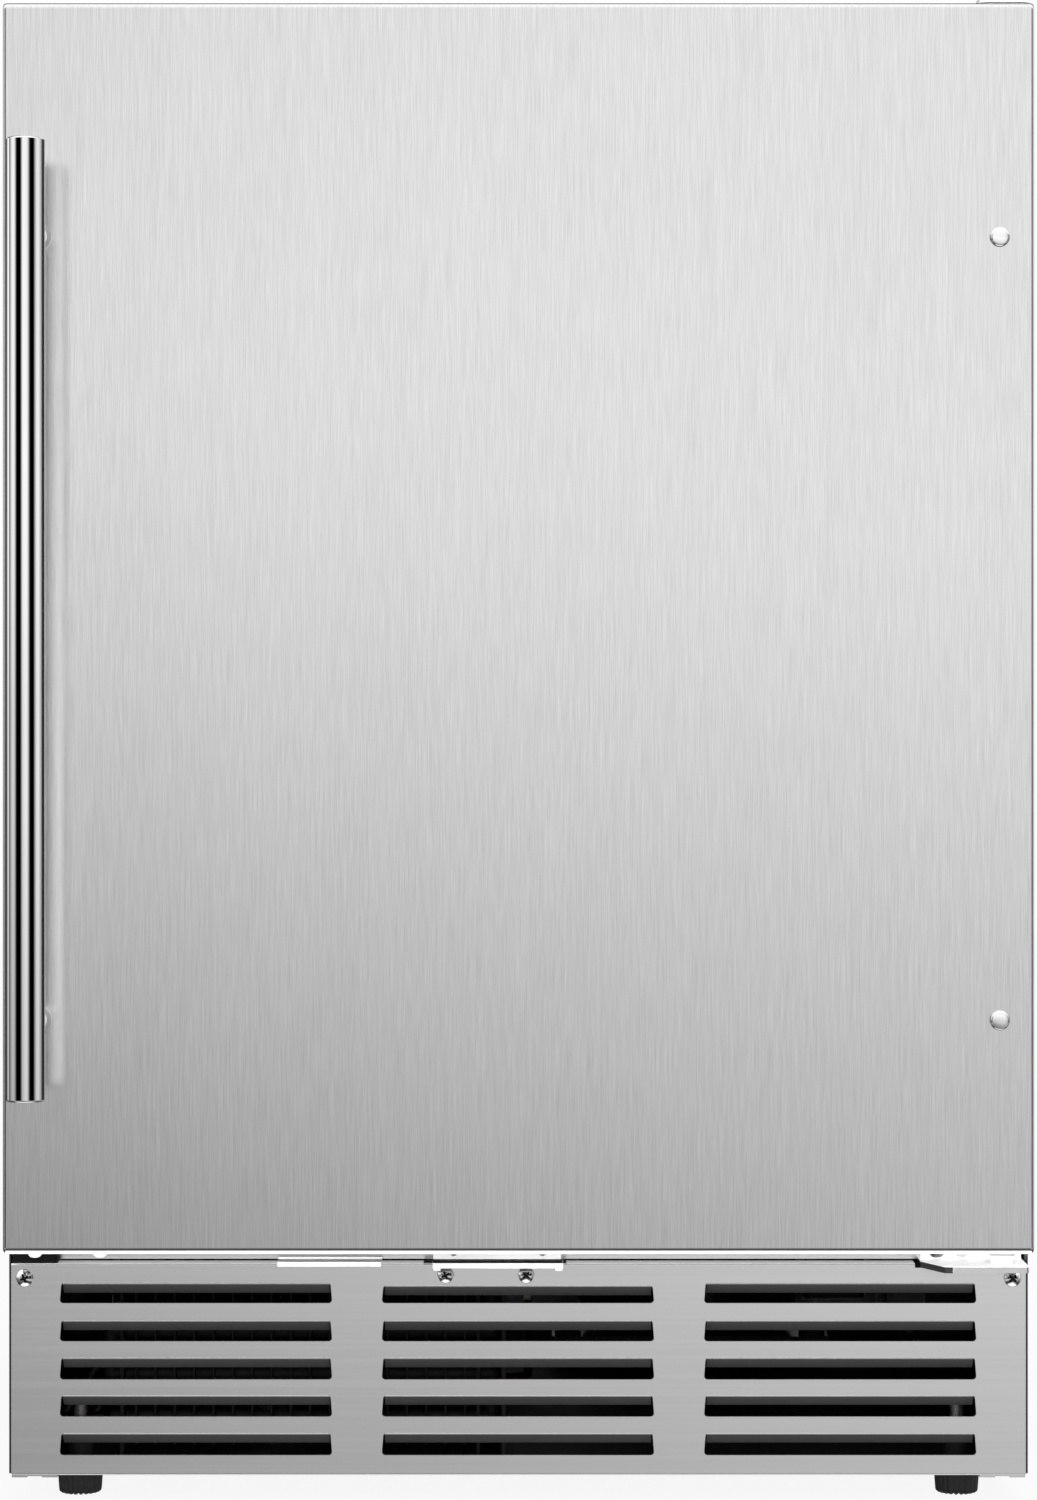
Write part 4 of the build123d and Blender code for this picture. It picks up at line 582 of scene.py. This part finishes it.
# --------------------------------------------------------- cross-head screws
def screw_head(bm, at, R, H, axis="-Y", mat=0, recess=0.50, turn=0.0, dark=None):
    """Pan head with a domed top and a cross recess; its seat is at `at`."""
    NR, NA = 30, 96
    ca, sa = math.cos(turn), math.sin(turn)

    def height(r, a):
        q = r / R
        if q < 0.94:
            h = H * (1 - 0.40 * q - 0.53 * q * q)
        else:
            h = H * (1 - 0.40 * 0.94 - 0.53 * 0.94 ** 2) * math.sqrt(max(0.0, 1 - ((q - 0.94) / 0.06) ** 2.0))
        u, v = r * math.cos(a), r * math.sin(a)
        u, v = u * ca + v * sa, -u * sa + v * ca
        cut = 0.0
        L, W = recess * R, 0.15 * R
        for p, s in ((u, v), (v, u)):
            along = max(0.0, 1 - max(0.0, abs(p) - L * 0.86) / (0.16 * L)) if abs(p) < 1.02 * L else 0.0
            across = min(1.0, max(0.0, (W - abs(s)) / (0.09 * R)))
            cut = max(cut, min(along, 1) * across)
        deep = H * (0.66 - 0.36 * min(1.0, r / L) ** 1.5)
        return max(H * 0.02, h) - cut * deep

    rings = []
    for i in range(NR + 1):
        r = R * (i / NR) ** 0.9
        row = []
        for k in range(NA if i else 1):
            a = 2 * math.pi * k / NA
            h = height(r, a)
            u, v = r * math.cos(a), r * math.sin(a)
            p = {"-Y": (u, -h, v), "Z": (u, v, h), "-Z": (u, v, -h), "Y": (u, h, v)}[axis]
            row.append(bm.verts.new((at[0] + p[0], at[1] + p[1], at[2] + p[2])))
        rings.append(row)
    base = []
    for k in range(NA):
        a = 2 * math.pi * k / NA
        u, v = R * math.cos(a), R * math.sin(a)
        p = {"-Y": (u, 0, v), "Z": (u, v, 0), "-Z": (u, v, 0), "Y": (u, 0, v)}[axis]
        base.append(bm.verts.new((at[0] + p[0], at[1] + p[1], at[2] + p[2])))
    rings.append(base)
    faces = []
    for ra, rb in zip(rings, rings[1:]):
        for i in range(NA):
            j = (i + 1) % NA
            if len(ra) == 1:
                faces.append(bm.faces.new((ra[0], rb[i], rb[j])))
            else:
                faces.append(bm.faces.new((ra[i], rb[i], rb[j], ra[j])))
    faces.append(bm.faces.new(base))
    for f in faces:
        f.material_index = mat
        # the driver recess is near black, painted shade in the cross
        cu = cv = 0.0
        for v in f.verts:
            du, dv = v.co.x - at[0], v.co.z - at[2]
            cu += du / len(f.verts)
            cv += dv / len(f.verts)
        if axis == "-Y":
            u, v_ = cu * ca + cv * sa, -cu * sa + cv * ca
            r = math.hypot(u, v_)
            if r < 0.98 * recess * R and min(abs(u), abs(v_)) < 0.135 * R and dark is not None:
                f.material_index = dark


def shank(bm, at, r, length, axis="Y", mat=0):
    prof = [(0, 0), (r, 0)]
    z = 0.0
    while z < length - 1.6 * MM:
        prof += [(r, z + 0.35 * MM), (r * 0.8, z + 0.7 * MM), (r, z + 1.05 * MM)]
        z += 1.05 * MM
    prof += [(r * 0.5, length - 0.3 * MM), (0, length)]
    lathe(bm, prof, at, axis, 16, None, mat)


def front_screws(name, spots, R, H, length, body="cabinet"):
    lo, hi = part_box(name)
    bm = bmesh.new()
    for i, (x, z) in enumerate(spots):
        seat = lo.y + H
        screw_head(bm, (x * MM, seat, z * MM), R * MM, H, "-Y", 0, 0.52, (0.42, 0.78, 0.3)[i % 3], 1)
        shank(bm, (x * MM, seat, z * MM), 1.9 * MM, length * MM, "Y", 0)
    return finish_mesh(bm, name + "_heads", ["bright", "recess"], body, (name,), 32)


front_screws("grille_screws", ((-288.5, 131.6), (288.5, 131.6)), 5.15, 2.8 * MM, 17.5)
front_screws("keeper_screws", ((-42.6, 133.4), (4.4, 133.4)), 4.8, 2.5 * MM, 10.6)


# --------------------------------------------------------------- hole plugs
def plugs():
    lo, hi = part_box("hole_plugs")
    bm = bmesh.new()
    y = lo.y + 2.6 * MM
    for z in (284.8, 734.8):
        R, H = 5.85 * MM, 2.6 * MM
        prof = [(0, H - 0.02 * MM)]
        for k in range(1, 13):
            q = k / 12 * 0.80
            prof.append((R * q, H * (1 - 0.11 * (q / 0.80) ** 2.2)))
        for k in range(1, 11):
            t = k / 10 * math.pi / 2
            prof.append((R * (0.80 + 0.20 * math.sin(t)), H * 0.89 * math.cos(t) * 0.86 + H * 0.89 * 0.14 * (1 - k / 10)))
        prof += [(R * 0.985, 0.0), (3.0 * MM, 0.0), (3.0 * MM, -8.0 * MM), (2.2 * MM, -8.9 * MM), (0, -8.9 * MM)]
        lathe(bm, prof, (276.5 * MM, y, z * MM), "-Y", 96)
    return finish_mesh(bm, "hole_plugs_domed", ["chrome"], "door", ("hole_plugs",), 50)


plugs()


# ------------------------------------------------------------------ the fans
def fan(name, body, axis_y0, axis_y1, cx, cz, hub, tip, count, sweep, mat):
    lo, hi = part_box(name)
    bm = bmesh.new()
    depth = axis_y1 - axis_y0
    # hub: a cap with a rounded rim, open at the back
    prof = [(0, 0), (hub * 0.55, 0.0), (hub * 0.84, 0.6 * MM), (hub * 0.97, 2.0 * MM), (hub, 4.0 * MM), (hub, depth),
            (hub - 1.8 * MM, depth), (hub - 1.8 * MM, 2.6 * MM), (0, 2.6 * MM)]
    lathe(bm, prof, (cx, axis_y0, cz), "Y", 64)
    NR, NC = 14, 12
    for b in range(count):
        a0 = 2 * math.pi * b / count
        for side in (0, 1):
            pass
        grid = [[None] * (NC + 1) for _ in range(NR + 1)]
        back = [[None] * (NC + 1) for _ in range(NR + 1)]
        for i in range(NR + 1):
            q = i / NR
            r = hub * 0.97 + (tip - hub * 0.97) * q
            chord = (0.62 + 0.30 * q) * 2 * math.pi / count * (1 - 0.35 * max(0, q - 0.86) / 0.14 * 0.6)
            lead = a0 + sweep * q ** 1.4
            for k in range(NC + 1):
                c = k / NC
                a = lead + chord * c
                pitch = depth * (0.88 - 0.16 * q)
                y = axis_y0 + depth * 0.05 + pitch * c + depth * 0.10 * math.sin(math.pi * c)
                t = 0.75 * MM * (math.sin(math.pi * (0.08 + 0.84 * c)) ** 0.5)
                y = min(y, axis_y1 - t - 0.1 * MM)
                grid[i][k] = bm.verts.new((cx + r * math.cos(a), max(y - t, axis_y0), cz + r * math.sin(a)))
                back[i][k] = bm.verts.new((cx + r * math.cos(a), y + t, cz + r * math.sin(a)))
        for i in range(NR):
            for k in range(NC):
                bm.faces.new((grid[i][k], grid[i][k + 1], grid[i + 1][k + 1], grid[i + 1][k]))
                bm.faces.new((back[i][k], back[i + 1][k], back[i + 1][k + 1], back[i][k + 1]))
        for i in range(NR):
            for k in (0, NC):
                bm.faces.new((grid[i][k], grid[i + 1][k], back[i + 1][k], back[i][k]))
        for k in range(NC):
            for i in (0, NR):
                bm.faces.new((grid[i][k], back[i][k], back[i][k + 1], grid[i][k + 1]))
    return finish_mesh(bm, name + "_bladed", [mat], body, (name,), 50)


lo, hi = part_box("condenser_fan")
fan("condenser_fan", "condenser_fan", lo.y, hi.y, -0.130, 0.082, 17.0 * MM, 47.9 * MM, 5, 0.35, "coil_black")
lo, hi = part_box("evaporator_fan")
fan("evaporator_fan", "evaporator_fan", lo.y, hi.y, 0.0, 0.640, 13.0 * MM, 49.9 * MM, 5, 0.35, "cover")


# --------------------------------------------------------------- the gasket
def gasket():
    """Magnetic gasket: a dart rail, two bellows folds and the sealing strip with its magnet."""
    lo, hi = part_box("door_gasket")
    # (across from the outer edge inwards, out from the door): a closed section
    w = 16.0 * MM
    d = hi.y - lo.y - 0.05 * MM
    sec = [
        (0.9, 0.0), (3.2, 0.0), (4.0, 0.5), (5.4, 0.5), (6.2, 0.0), (12.2, 0.0), (13.6, 0.35), (15.2, 0.9), (15.95, 1.7),
        (15.4, 2.3), (13.9, 2.2), (13.2, 2.7), (13.6, 3.4), (14.8, 3.7), (15.5, 4.3), (15.1, 5.0), (14.2, 5.3),
        (14.3, 6.4), (13.9, 7.1), (12.9, 7.5), (3.4, 7.5), (2.3, 7.2), (1.9, 6.4), (2.0, 5.3), (1.1, 5.0), (0.5, 4.3),
        (1.2, 3.6), (2.5, 3.3), (2.9, 2.7), (2.2, 2.2), (0.7, 2.0), (0.05, 1.2),
    ]
    k = d / (7.5 * MM)
    bm = bmesh.new()
    rings = []
    for cx, cz in ((-1, -1), (1, -1), (1, 1), (-1, 1)):
        x_out = lo.x if cx < 0 else hi.x
        z_out = lo.z if cz < 0 else hi.z
        ring = []
        for a, h in sec:
            a *= MM
            h *= MM * k
            ring.append(bm.verts.new((x_out - cx * a, lo.y + h, z_out - cz * a)))
        rings.append(ring)
    n = len(sec)
    for i in range(4):
        ra, rb = rings[i], rings[(i + 1) % 4]
        for p in range(n):
            q = (p + 1) % n
            bm.faces.new((ra[p], ra[q], rb[q], rb[p]))
    o = finish_mesh(bm, "door_gasket_bellows", ["gasket"], "door", ("door_gasket",), 60)
    # round the folds, keep the mitres crisp
    bev = o.modifiers.new("folds", "BEVEL")
    bev.width = 0.18 * MM
    bev.segments = 2
    bev.limit_method = "ANGLE"
    bev.angle_limit = math.radians(25)
    return o


gasket()


# --------------------------------------------------- lower edge of the door
def hem_highlight_strip():
    """Pale strip along the rolled lower edge of the door, a painted highlight: a narrow upright face with a turned-in
    foot.
    """
    lo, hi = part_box("door_skin")
    bm = bmesh.new()
    y, z = lo.y, lo.z
    out = [(0.42, 1.36), (0.34, 1.24), (0.30, 1.05), (0.30, 0.36), (0.38, 0.16), (0.56, 0.07), (4.4, 0.03), (4.4, 0.9), (2.4, 1.0), (1.2, 1.4)]
    prism(bm, [(y + a * MM, z + b * MM) for a, b in out], lo.x + 1.7 * MM, hi.x - 1.7 * MM)
    return finish_mesh(bm, "door_hem_highlight", ["hem_highlight"], "door", (), 50)


HEM = hem_highlight_strip()


# ------------------------------------------- dark strips between keeper and grille, painted shade of the gap
def keeper_gap_shade():
    lo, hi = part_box("lock_keeper")
    bm = bmesh.new()
    z = 140.90 * MM
    block(bm, -50.0 * MM, 25.5 * MM, -225.5 * MM, -212.0 * MM, z, z + 0.35 * MM, 0, 0.08 * MM)
    block(bm, -55.4 * MM, -50.2 * MM, -224.0 * MM, -214.0 * MM, z - 0.2 * MM, z + 0.25 * MM, 0, 0.08 * MM)
    block(bm, 26.1 * MM, 28.0 * MM, -224.0 * MM, -214.0 * MM, z - 0.2 * MM, z + 0.25 * MM, 0, 0.08 * MM)
    return finish_mesh(bm, "keeper_gap_shade", ["seat_black_and_gap_shade"], "cabinet", (), 40)


keeper_gap_shade()


# ------------------------------------------------------- dial of the control
def dial():
    lo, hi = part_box("control_housing")
    y = lo.y
    kx, kz = 45.0 * MM, 805.0 * MM
    bm = bmesh.new()
    for i in range(22):
        a = math.radians(225 - i * 270 / 21)
        long = i % 3 == 0
        r0, r1 = 15.0 * MM, (17.4 if long else 16.4) * MM
        w = (0.30 if long else 0.18) * MM
        c, s_ = math.cos(a), math.sin(a)
        vs = []
        for r, t in ((r0, -w), (r0, w), (r1, w), (r1, -w)):
            vs.append((kx + r * c - t * s_, kz + r * s_ + t * c))
        if any(not (lo.z + 3.4 * MM < z < hi.z - 0.3 * MM) for x, z in vs):
            continue
        f = [bm.verts.new((x, y - 0.06 * MM, z)) for x, z in vs]
        b = [bm.verts.new((x, y + 0.02 * MM, z)) for x, z in vs]
        bm.faces.new(f)
        bm.faces.new(b)
        for k in range(4):
            bm.faces.new((f[k], f[(k + 1) % 4], b[(k + 1) % 4], b[k]))
    finish_mesh(bm, "dial_marks", ["print_grey"], "cabinet", (), 30)
    for text, deg in (("1", 205), ("3", 155), ("5", 25), ("7", -25)):
        cu = bpy.data.curves.new("numeral_" + text, "FONT")
        cu.body = text
        cu.size = 4.6 * MM
        cu.extrude = 0.04 * MM
        cu.align_x = "CENTER"
        cu.align_y = "CENTER"
        tmp = bpy.data.objects.new("tmp", cu)
        scene.collection.objects.link(tmp)
        bpy.context.view_layer.update()
        me = bpy.data.meshes.new_from_object(tmp)
        bpy.data.objects.remove(tmp)
        a = math.radians(deg)
        r = 21.0 * MM
        me.transform(Matrix.Translation((kx + r * math.cos(a), y - 0.04 * MM, kz + r * math.sin(a))) @ Matrix.Rotation(math.radians(90), 4, "X"))
        me.name = "dial_numeral_" + text
        me.materials.clear()
        me.materials.append(M["print_grey"])
        o = bpy.data.objects.new("dial_numeral_" + text, me)
        scene.collection.objects.link(o)
        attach(o, "cabinet")


dial()

# broken edges catch the light on the pressed and cut plates
for n, w in (("kick_grille", 0.22), ("lower_hinge_bracket", 0.25), ("upper_hinge_bracket", 0.25), ("bottom_rail", 0.3),
             ("lock_keeper", 0.2), ("door_sensor_bracket", 0.2), ("control_housing", 0.4), ("thermostat_knob", 0.3)):
    bev = NODES[n].modifiers.new("edges", "BEVEL")
    bev.width = w * MM
    bev.segments = 2
    bev.limit_method = "ANGLE"
    bev.angle_limit = math.radians(50)
    bev.harden_normals = False


# ---------------------------------------------------------------- the studio
def studio():
    """A pale floor, a ring of soft panels with two black flags in front, and soft light."""
    s = 6.0
    me = bpy.data.meshes.new("floor")
    me.from_pydata([(-s, -s, 0), (s, -s, 0), (s, s, 0), (-s, s, 0)], [], [(0, 1, 2, 3)])
    floor = bpy.data.objects.new("floor", me)
    scene.collection.objects.link(floor)
    m = bpy.data.materials.new("floor_pale")
    m.use_nodes = True
    t = m.node_tree
    b = t.nodes["Principled BSDF"]
    b.inputs["Base Color"].default_value = (0.80, 0.80, 0.80, 1)
    b.inputs["Roughness"].default_value = 0.9
    glow = t.nodes.new("ShaderNodeEmission")
    glow.inputs["Color"].default_value = (1, 1, 1, 1)
    glow.inputs["Strength"].default_value = 0.99
    seen = t.nodes.new("ShaderNodeLightPath")
    part = t.nodes.new("ShaderNodeMath")
    part.operation = "MULTIPLY"
    part.inputs[1].default_value = 0.92
    t.links.new(seen.outputs["Is Camera Ray"], part.inputs[0])
    mx = t.nodes.new("ShaderNodeMixShader")
    t.links.new(part.outputs[0], mx.inputs[0])
    t.links.new(b.outputs[0], mx.inputs[1])
    t.links.new(glow.outputs[0], mx.inputs[2])
    t.links.new(mx.outputs[0], t.nodes["Material Output"].inputs["Surface"])
    me.materials.append(m)
    floor.visible_glossy = False

    world = bpy.data.worlds.new("studio")
    scene.world = world
    world.use_nodes = True
    t = world.node_tree
    t.nodes.clear()
    N = t.nodes.new
    L = t.links.new
    out = N("ShaderNodeOutputWorld")
    bg = N("ShaderNodeBackground")
    bg_cam = N("ShaderNodeBackground")
    mix = N("ShaderNodeMixShader")
    path = N("ShaderNodeLightPath")
    coord = N("ShaderNodeTexCoord")
    sep = N("ShaderNodeSeparateXYZ")
    L(coord.outputs["Generated"], sep.inputs[0])

    def mth(op, a, b=None):
        n = N("ShaderNodeMath")
        n.operation = op
        for i, v in enumerate((a, b)):
            if v is None:
                continue
            if isinstance(v, (int, float)):
                n.inputs[i].default_value = v
            else:
                L(v, n.inputs[i])
        return n.outputs[0]

    def ramp(value, stops):
        r = N("ShaderNodeValToRGB")
        L(value, r.inputs[0])
        cr = r.color_ramp
        cr.interpolation = "LINEAR"
        while len(cr.elements) < len(stops):
            cr.elements.new(0.5)
        for e, (p, v) in zip(cr.elements, stops):
            e.position = p
            e.color = (v, v, v, 1)
        sp = N("ShaderNodeSeparateColor")
        L(r.outputs[0], sp.inputs[0])
        return sp.outputs[0]

    # round the horizon, from straight ahead of the door: + to the right
    az = mth("MULTIPLY", mth("ARCTAN2", sep.outputs[0], mth("MULTIPLY", sep.outputs[1], -1.0)), 57.29578)
    round_ = ramp(mth("DIVIDE", mth("ADD", az, 180.0), 360.0), [((d + 180) / 360.0, v) for d, v in BAND])
    # up and down
    el = mth("MULTIPLY", mth("ARCSINE", sep.outputs[2]), 57.29578)
    updown = ramp(mth("DIVIDE", mth("ADD", el, 90.0), 180.0), [((d + 90) / 180.0, v) for d, v in RISE])
    # the panels and flags stand between these heights
    keep = ramp(mth("DIVIDE", mth("ADD", el, 90.0), 180.0), [((d + 90) / 180.0, v) for d, v in ((-90, 0), (-19, 0), (-13, 1), (13, 1), (19, 0), (90, 0))])
    flags = mth("ADD", mth("MULTIPLY", round_, keep), mth("SUBTRACT", 1.0, keep))
    # the right-hand side of the room is a little lighter than the left, more so low down
    lean = mth("SUBTRACT", ramp(mth("DIVIDE", mth("ADD", el, 90.0), 180.0), [((d + 90) / 180.0, 0.1 + v) for d, v in LEAN]), 0.1)
    behind = mth("MINIMUM", mth("MAXIMUM", mth("MULTIPLY", mth("SUBTRACT", sep.outputs[1], 0.10), 5.0), 0.0), 1.0)
    high = ramp(mth("DIVIDE", mth("ADD", el, 90.0), 180.0), [((d + 90) / 180.0, v) for d, v in ((-90, 0), (16, 0), (24, 1), (66, 1), (76, 0), (90, 0))])
    outline = mth("SUBTRACT", 1.0, mth("MULTIPLY", mth("MULTIPLY", behind, high), 0.93))
    side = mth("MINIMUM", mth("MAXIMUM", az, -12.0), 12.0)
    tilt = mth("ADD", 1.0, mth("MULTIPLY", mth("DIVIDE", side, 6.8), lean))
    light = mth("MULTIPLY", mth("MULTIPLY", mth("MULTIPLY", mth("MULTIPLY", flags, updown), tilt), WORLD), outline)
    # soft walls to either side, below the panels, for steel seen from a corner
    off = mth("DIVIDE", mth("ABSOLUTE", az), 180.0)
    wide = ramp(off, [(d / 180.0, v) for d, v in ((0, 0), (13, 0), (20, 1), (60, 1), (72, 0), (180, 0))])
    low = ramp(mth("DIVIDE", mth("ADD", el, 90.0), 180.0), [((d + 90) / 180.0, v) for d, v in ((-90, 0), (-36, 0), (-30, 1), (-14, 1), (-11, 0), (90, 0))])
    light = mth("MAXIMUM", light, mth("MULTIPLY", mth("MULTIPLY", wide, low), 0.55))
    grey = N("ShaderNodeCombineColor")
    for i in range(3):
        L(light, grey.inputs[i])
    L(grey.outputs[0], bg.inputs["Color"])
    bg.inputs["Strength"].default_value = 1.0
    bg_cam.inputs["Color"].default_value = (1, 1, 1, 1)
    L(path.outputs["Is Camera Ray"], mix.inputs[0])
    L(bg.outputs[0], mix.inputs[1])
    L(bg_cam.outputs[0], mix.inputs[2])
    L(mix.outputs[0], out.inputs[0])

    def area(name, at, aim, size, power, mirror=False):
        ld = bpy.data.lights.new(name, "AREA")
        ld.shape = "RECTANGLE"
        ld.size, ld.size_y = size
        ld.energy = power
        o = bpy.data.objects.new(name, ld)
        o.location = at
        o.rotation_euler = (Vector(aim) - Vector(at)).to_track_quat("-Z", "Y").to_euler()
        o.visible_glossy = mirror
        o.visible_camera = False
        scene.collection.objects.link(o)
        return o

    area("key", (0.9, -2.2, 3.0), (0, 0, 0.5), (2.6, 1.6), 60.0)
    area("front", (0.0, -3.4, 0.55), (0, 0, 0.40), (1.6, 0.5), 34.0)
    # a narrow light along the camera's line, for the small plates in the door's gap alone
    gap = area("gap", (0.0, -3.0, 0.47), (0, -0.24, 0.14), (1.4, 0.16), GAP)
    near = bpy.data.collections.new("gap_plates")
    for o in (HEM, NODES["lock_keeper"], NODES["door_sensor_bracket"], NODES["lower_hinge_bracket"], NODES["upper_hinge_bracket"], NODES["door_plug_screws"]):
        near.objects.link(o)
    gap.light_linking.receiver_collection = near
    # and one from above for the upward faces in the gap
    lip = area("lip", (0.0, -1.2, 1.6), (0, -0.23, 0.14), (1.4, 0.3), LIP)
    flat = bpy.data.collections.new("gap_tops")
    for name in ("lower_hinge_bracket", "kick_grille"):
        flat.objects.link(NODES[name])
    lip.light_linking.receiver_collection = flat
    lip.light_linking.blocker_collection = flat
    # bounce from the room between bar and door, for the handle's rear alone
    fill = area("handle_fill", (0.35, -0.05, 0.513), (-0.2765, -0.307, 0.513), (0.30, 0.9), FILL, True)
    bar = bpy.data.collections.new("handle_rear")
    for name in ("handle_tube", "handle_posts", "handle_end_caps"):
        bar.objects.link(NODES[name])
    fill.light_linking.receiver_collection = bar
    fill.light_linking.blocker_collection = bar


WORLD = 1.05
GAP = 85.0
FILL = 6.5
LIP = 22.0
BAND = [
    (-180, 0.80), (-150, 0.05), (-129, 0.12), (-119, 0.90), (-112, 1.0), (-105, 0.70), (-101, 0.15), (-97, 0.18), (-91, 0.40),
    (-83, 0.73), (-67, 0.90), (-61, 0.76), (-55, 0.42), (-47, 0.0), (-21.5, 0.0), (-15, 0.38), (-10, 0.84),
    (-3, 0.93), (8, 0.98), (15, 0.96), (20, 0.78), (25, 0.46), (30, 0.10), (35, 0.0), (56.5, 0.0), (64, 0.33),
    (71, 0.70), (80, 0.90), (118, 0.80), (129, 0.12), (150, 0.05), (180, 0.80),
]
RISE = [
    (-90, 1.0), (-75, 1.10), (-62, 1.05), (-54, 0.10), (-46, 0.04), (-28, 0.11), (-20, 0.23), (-14, 0.30), (-11, 0.36), (-9.9, 0.455),
    (-8.7, 0.535), (-7.6, 0.56), (-7, 0.58), (-5.5, 0.655), (-3.9, 0.71), (-2.3, 0.79), (-0.8, 0.87), (0.8, 0.925), (2.3, 1.03), (4.8, 1.11),
    (12, 1.06), (30, 1.08), (50, 1.28), (90, 1.32),
]
LEAN = [
    (-90, 0.0), (-40, 0.02), (-14, 0.22), (-11, 0.25), (-8.7, 0.20), (-7.7, 0.13), (-6.5, 0.10), (-5.5, 0.075), (-2.3, 0.055), (0, 0.04),
    (2.3, 0.008), (4.8, -0.02), (8.6, -0.055), (12, 0.0), (90, 0.0),
]
studio()
scene.view_settings.view_transform = "Standard"
scene.view_settings.look = "None"

# -------------------------------------------------------------------- camera
cam_data = bpy.data.cameras.new("camera")
cam_data.sensor_width = 36.0
cam_data.sensor_fit = "AUTO"
cam_data.lens = 87.73
cam_data.clip_end = 50.0
cam = bpy.data.objects.new("camera", cam_data)
cam.location = (0.0, -2.357, 0.440)
cam.rotation_euler = (math.radians(90), 0, 0)
scene.collection.objects.link(cam)
scene.camera = cam
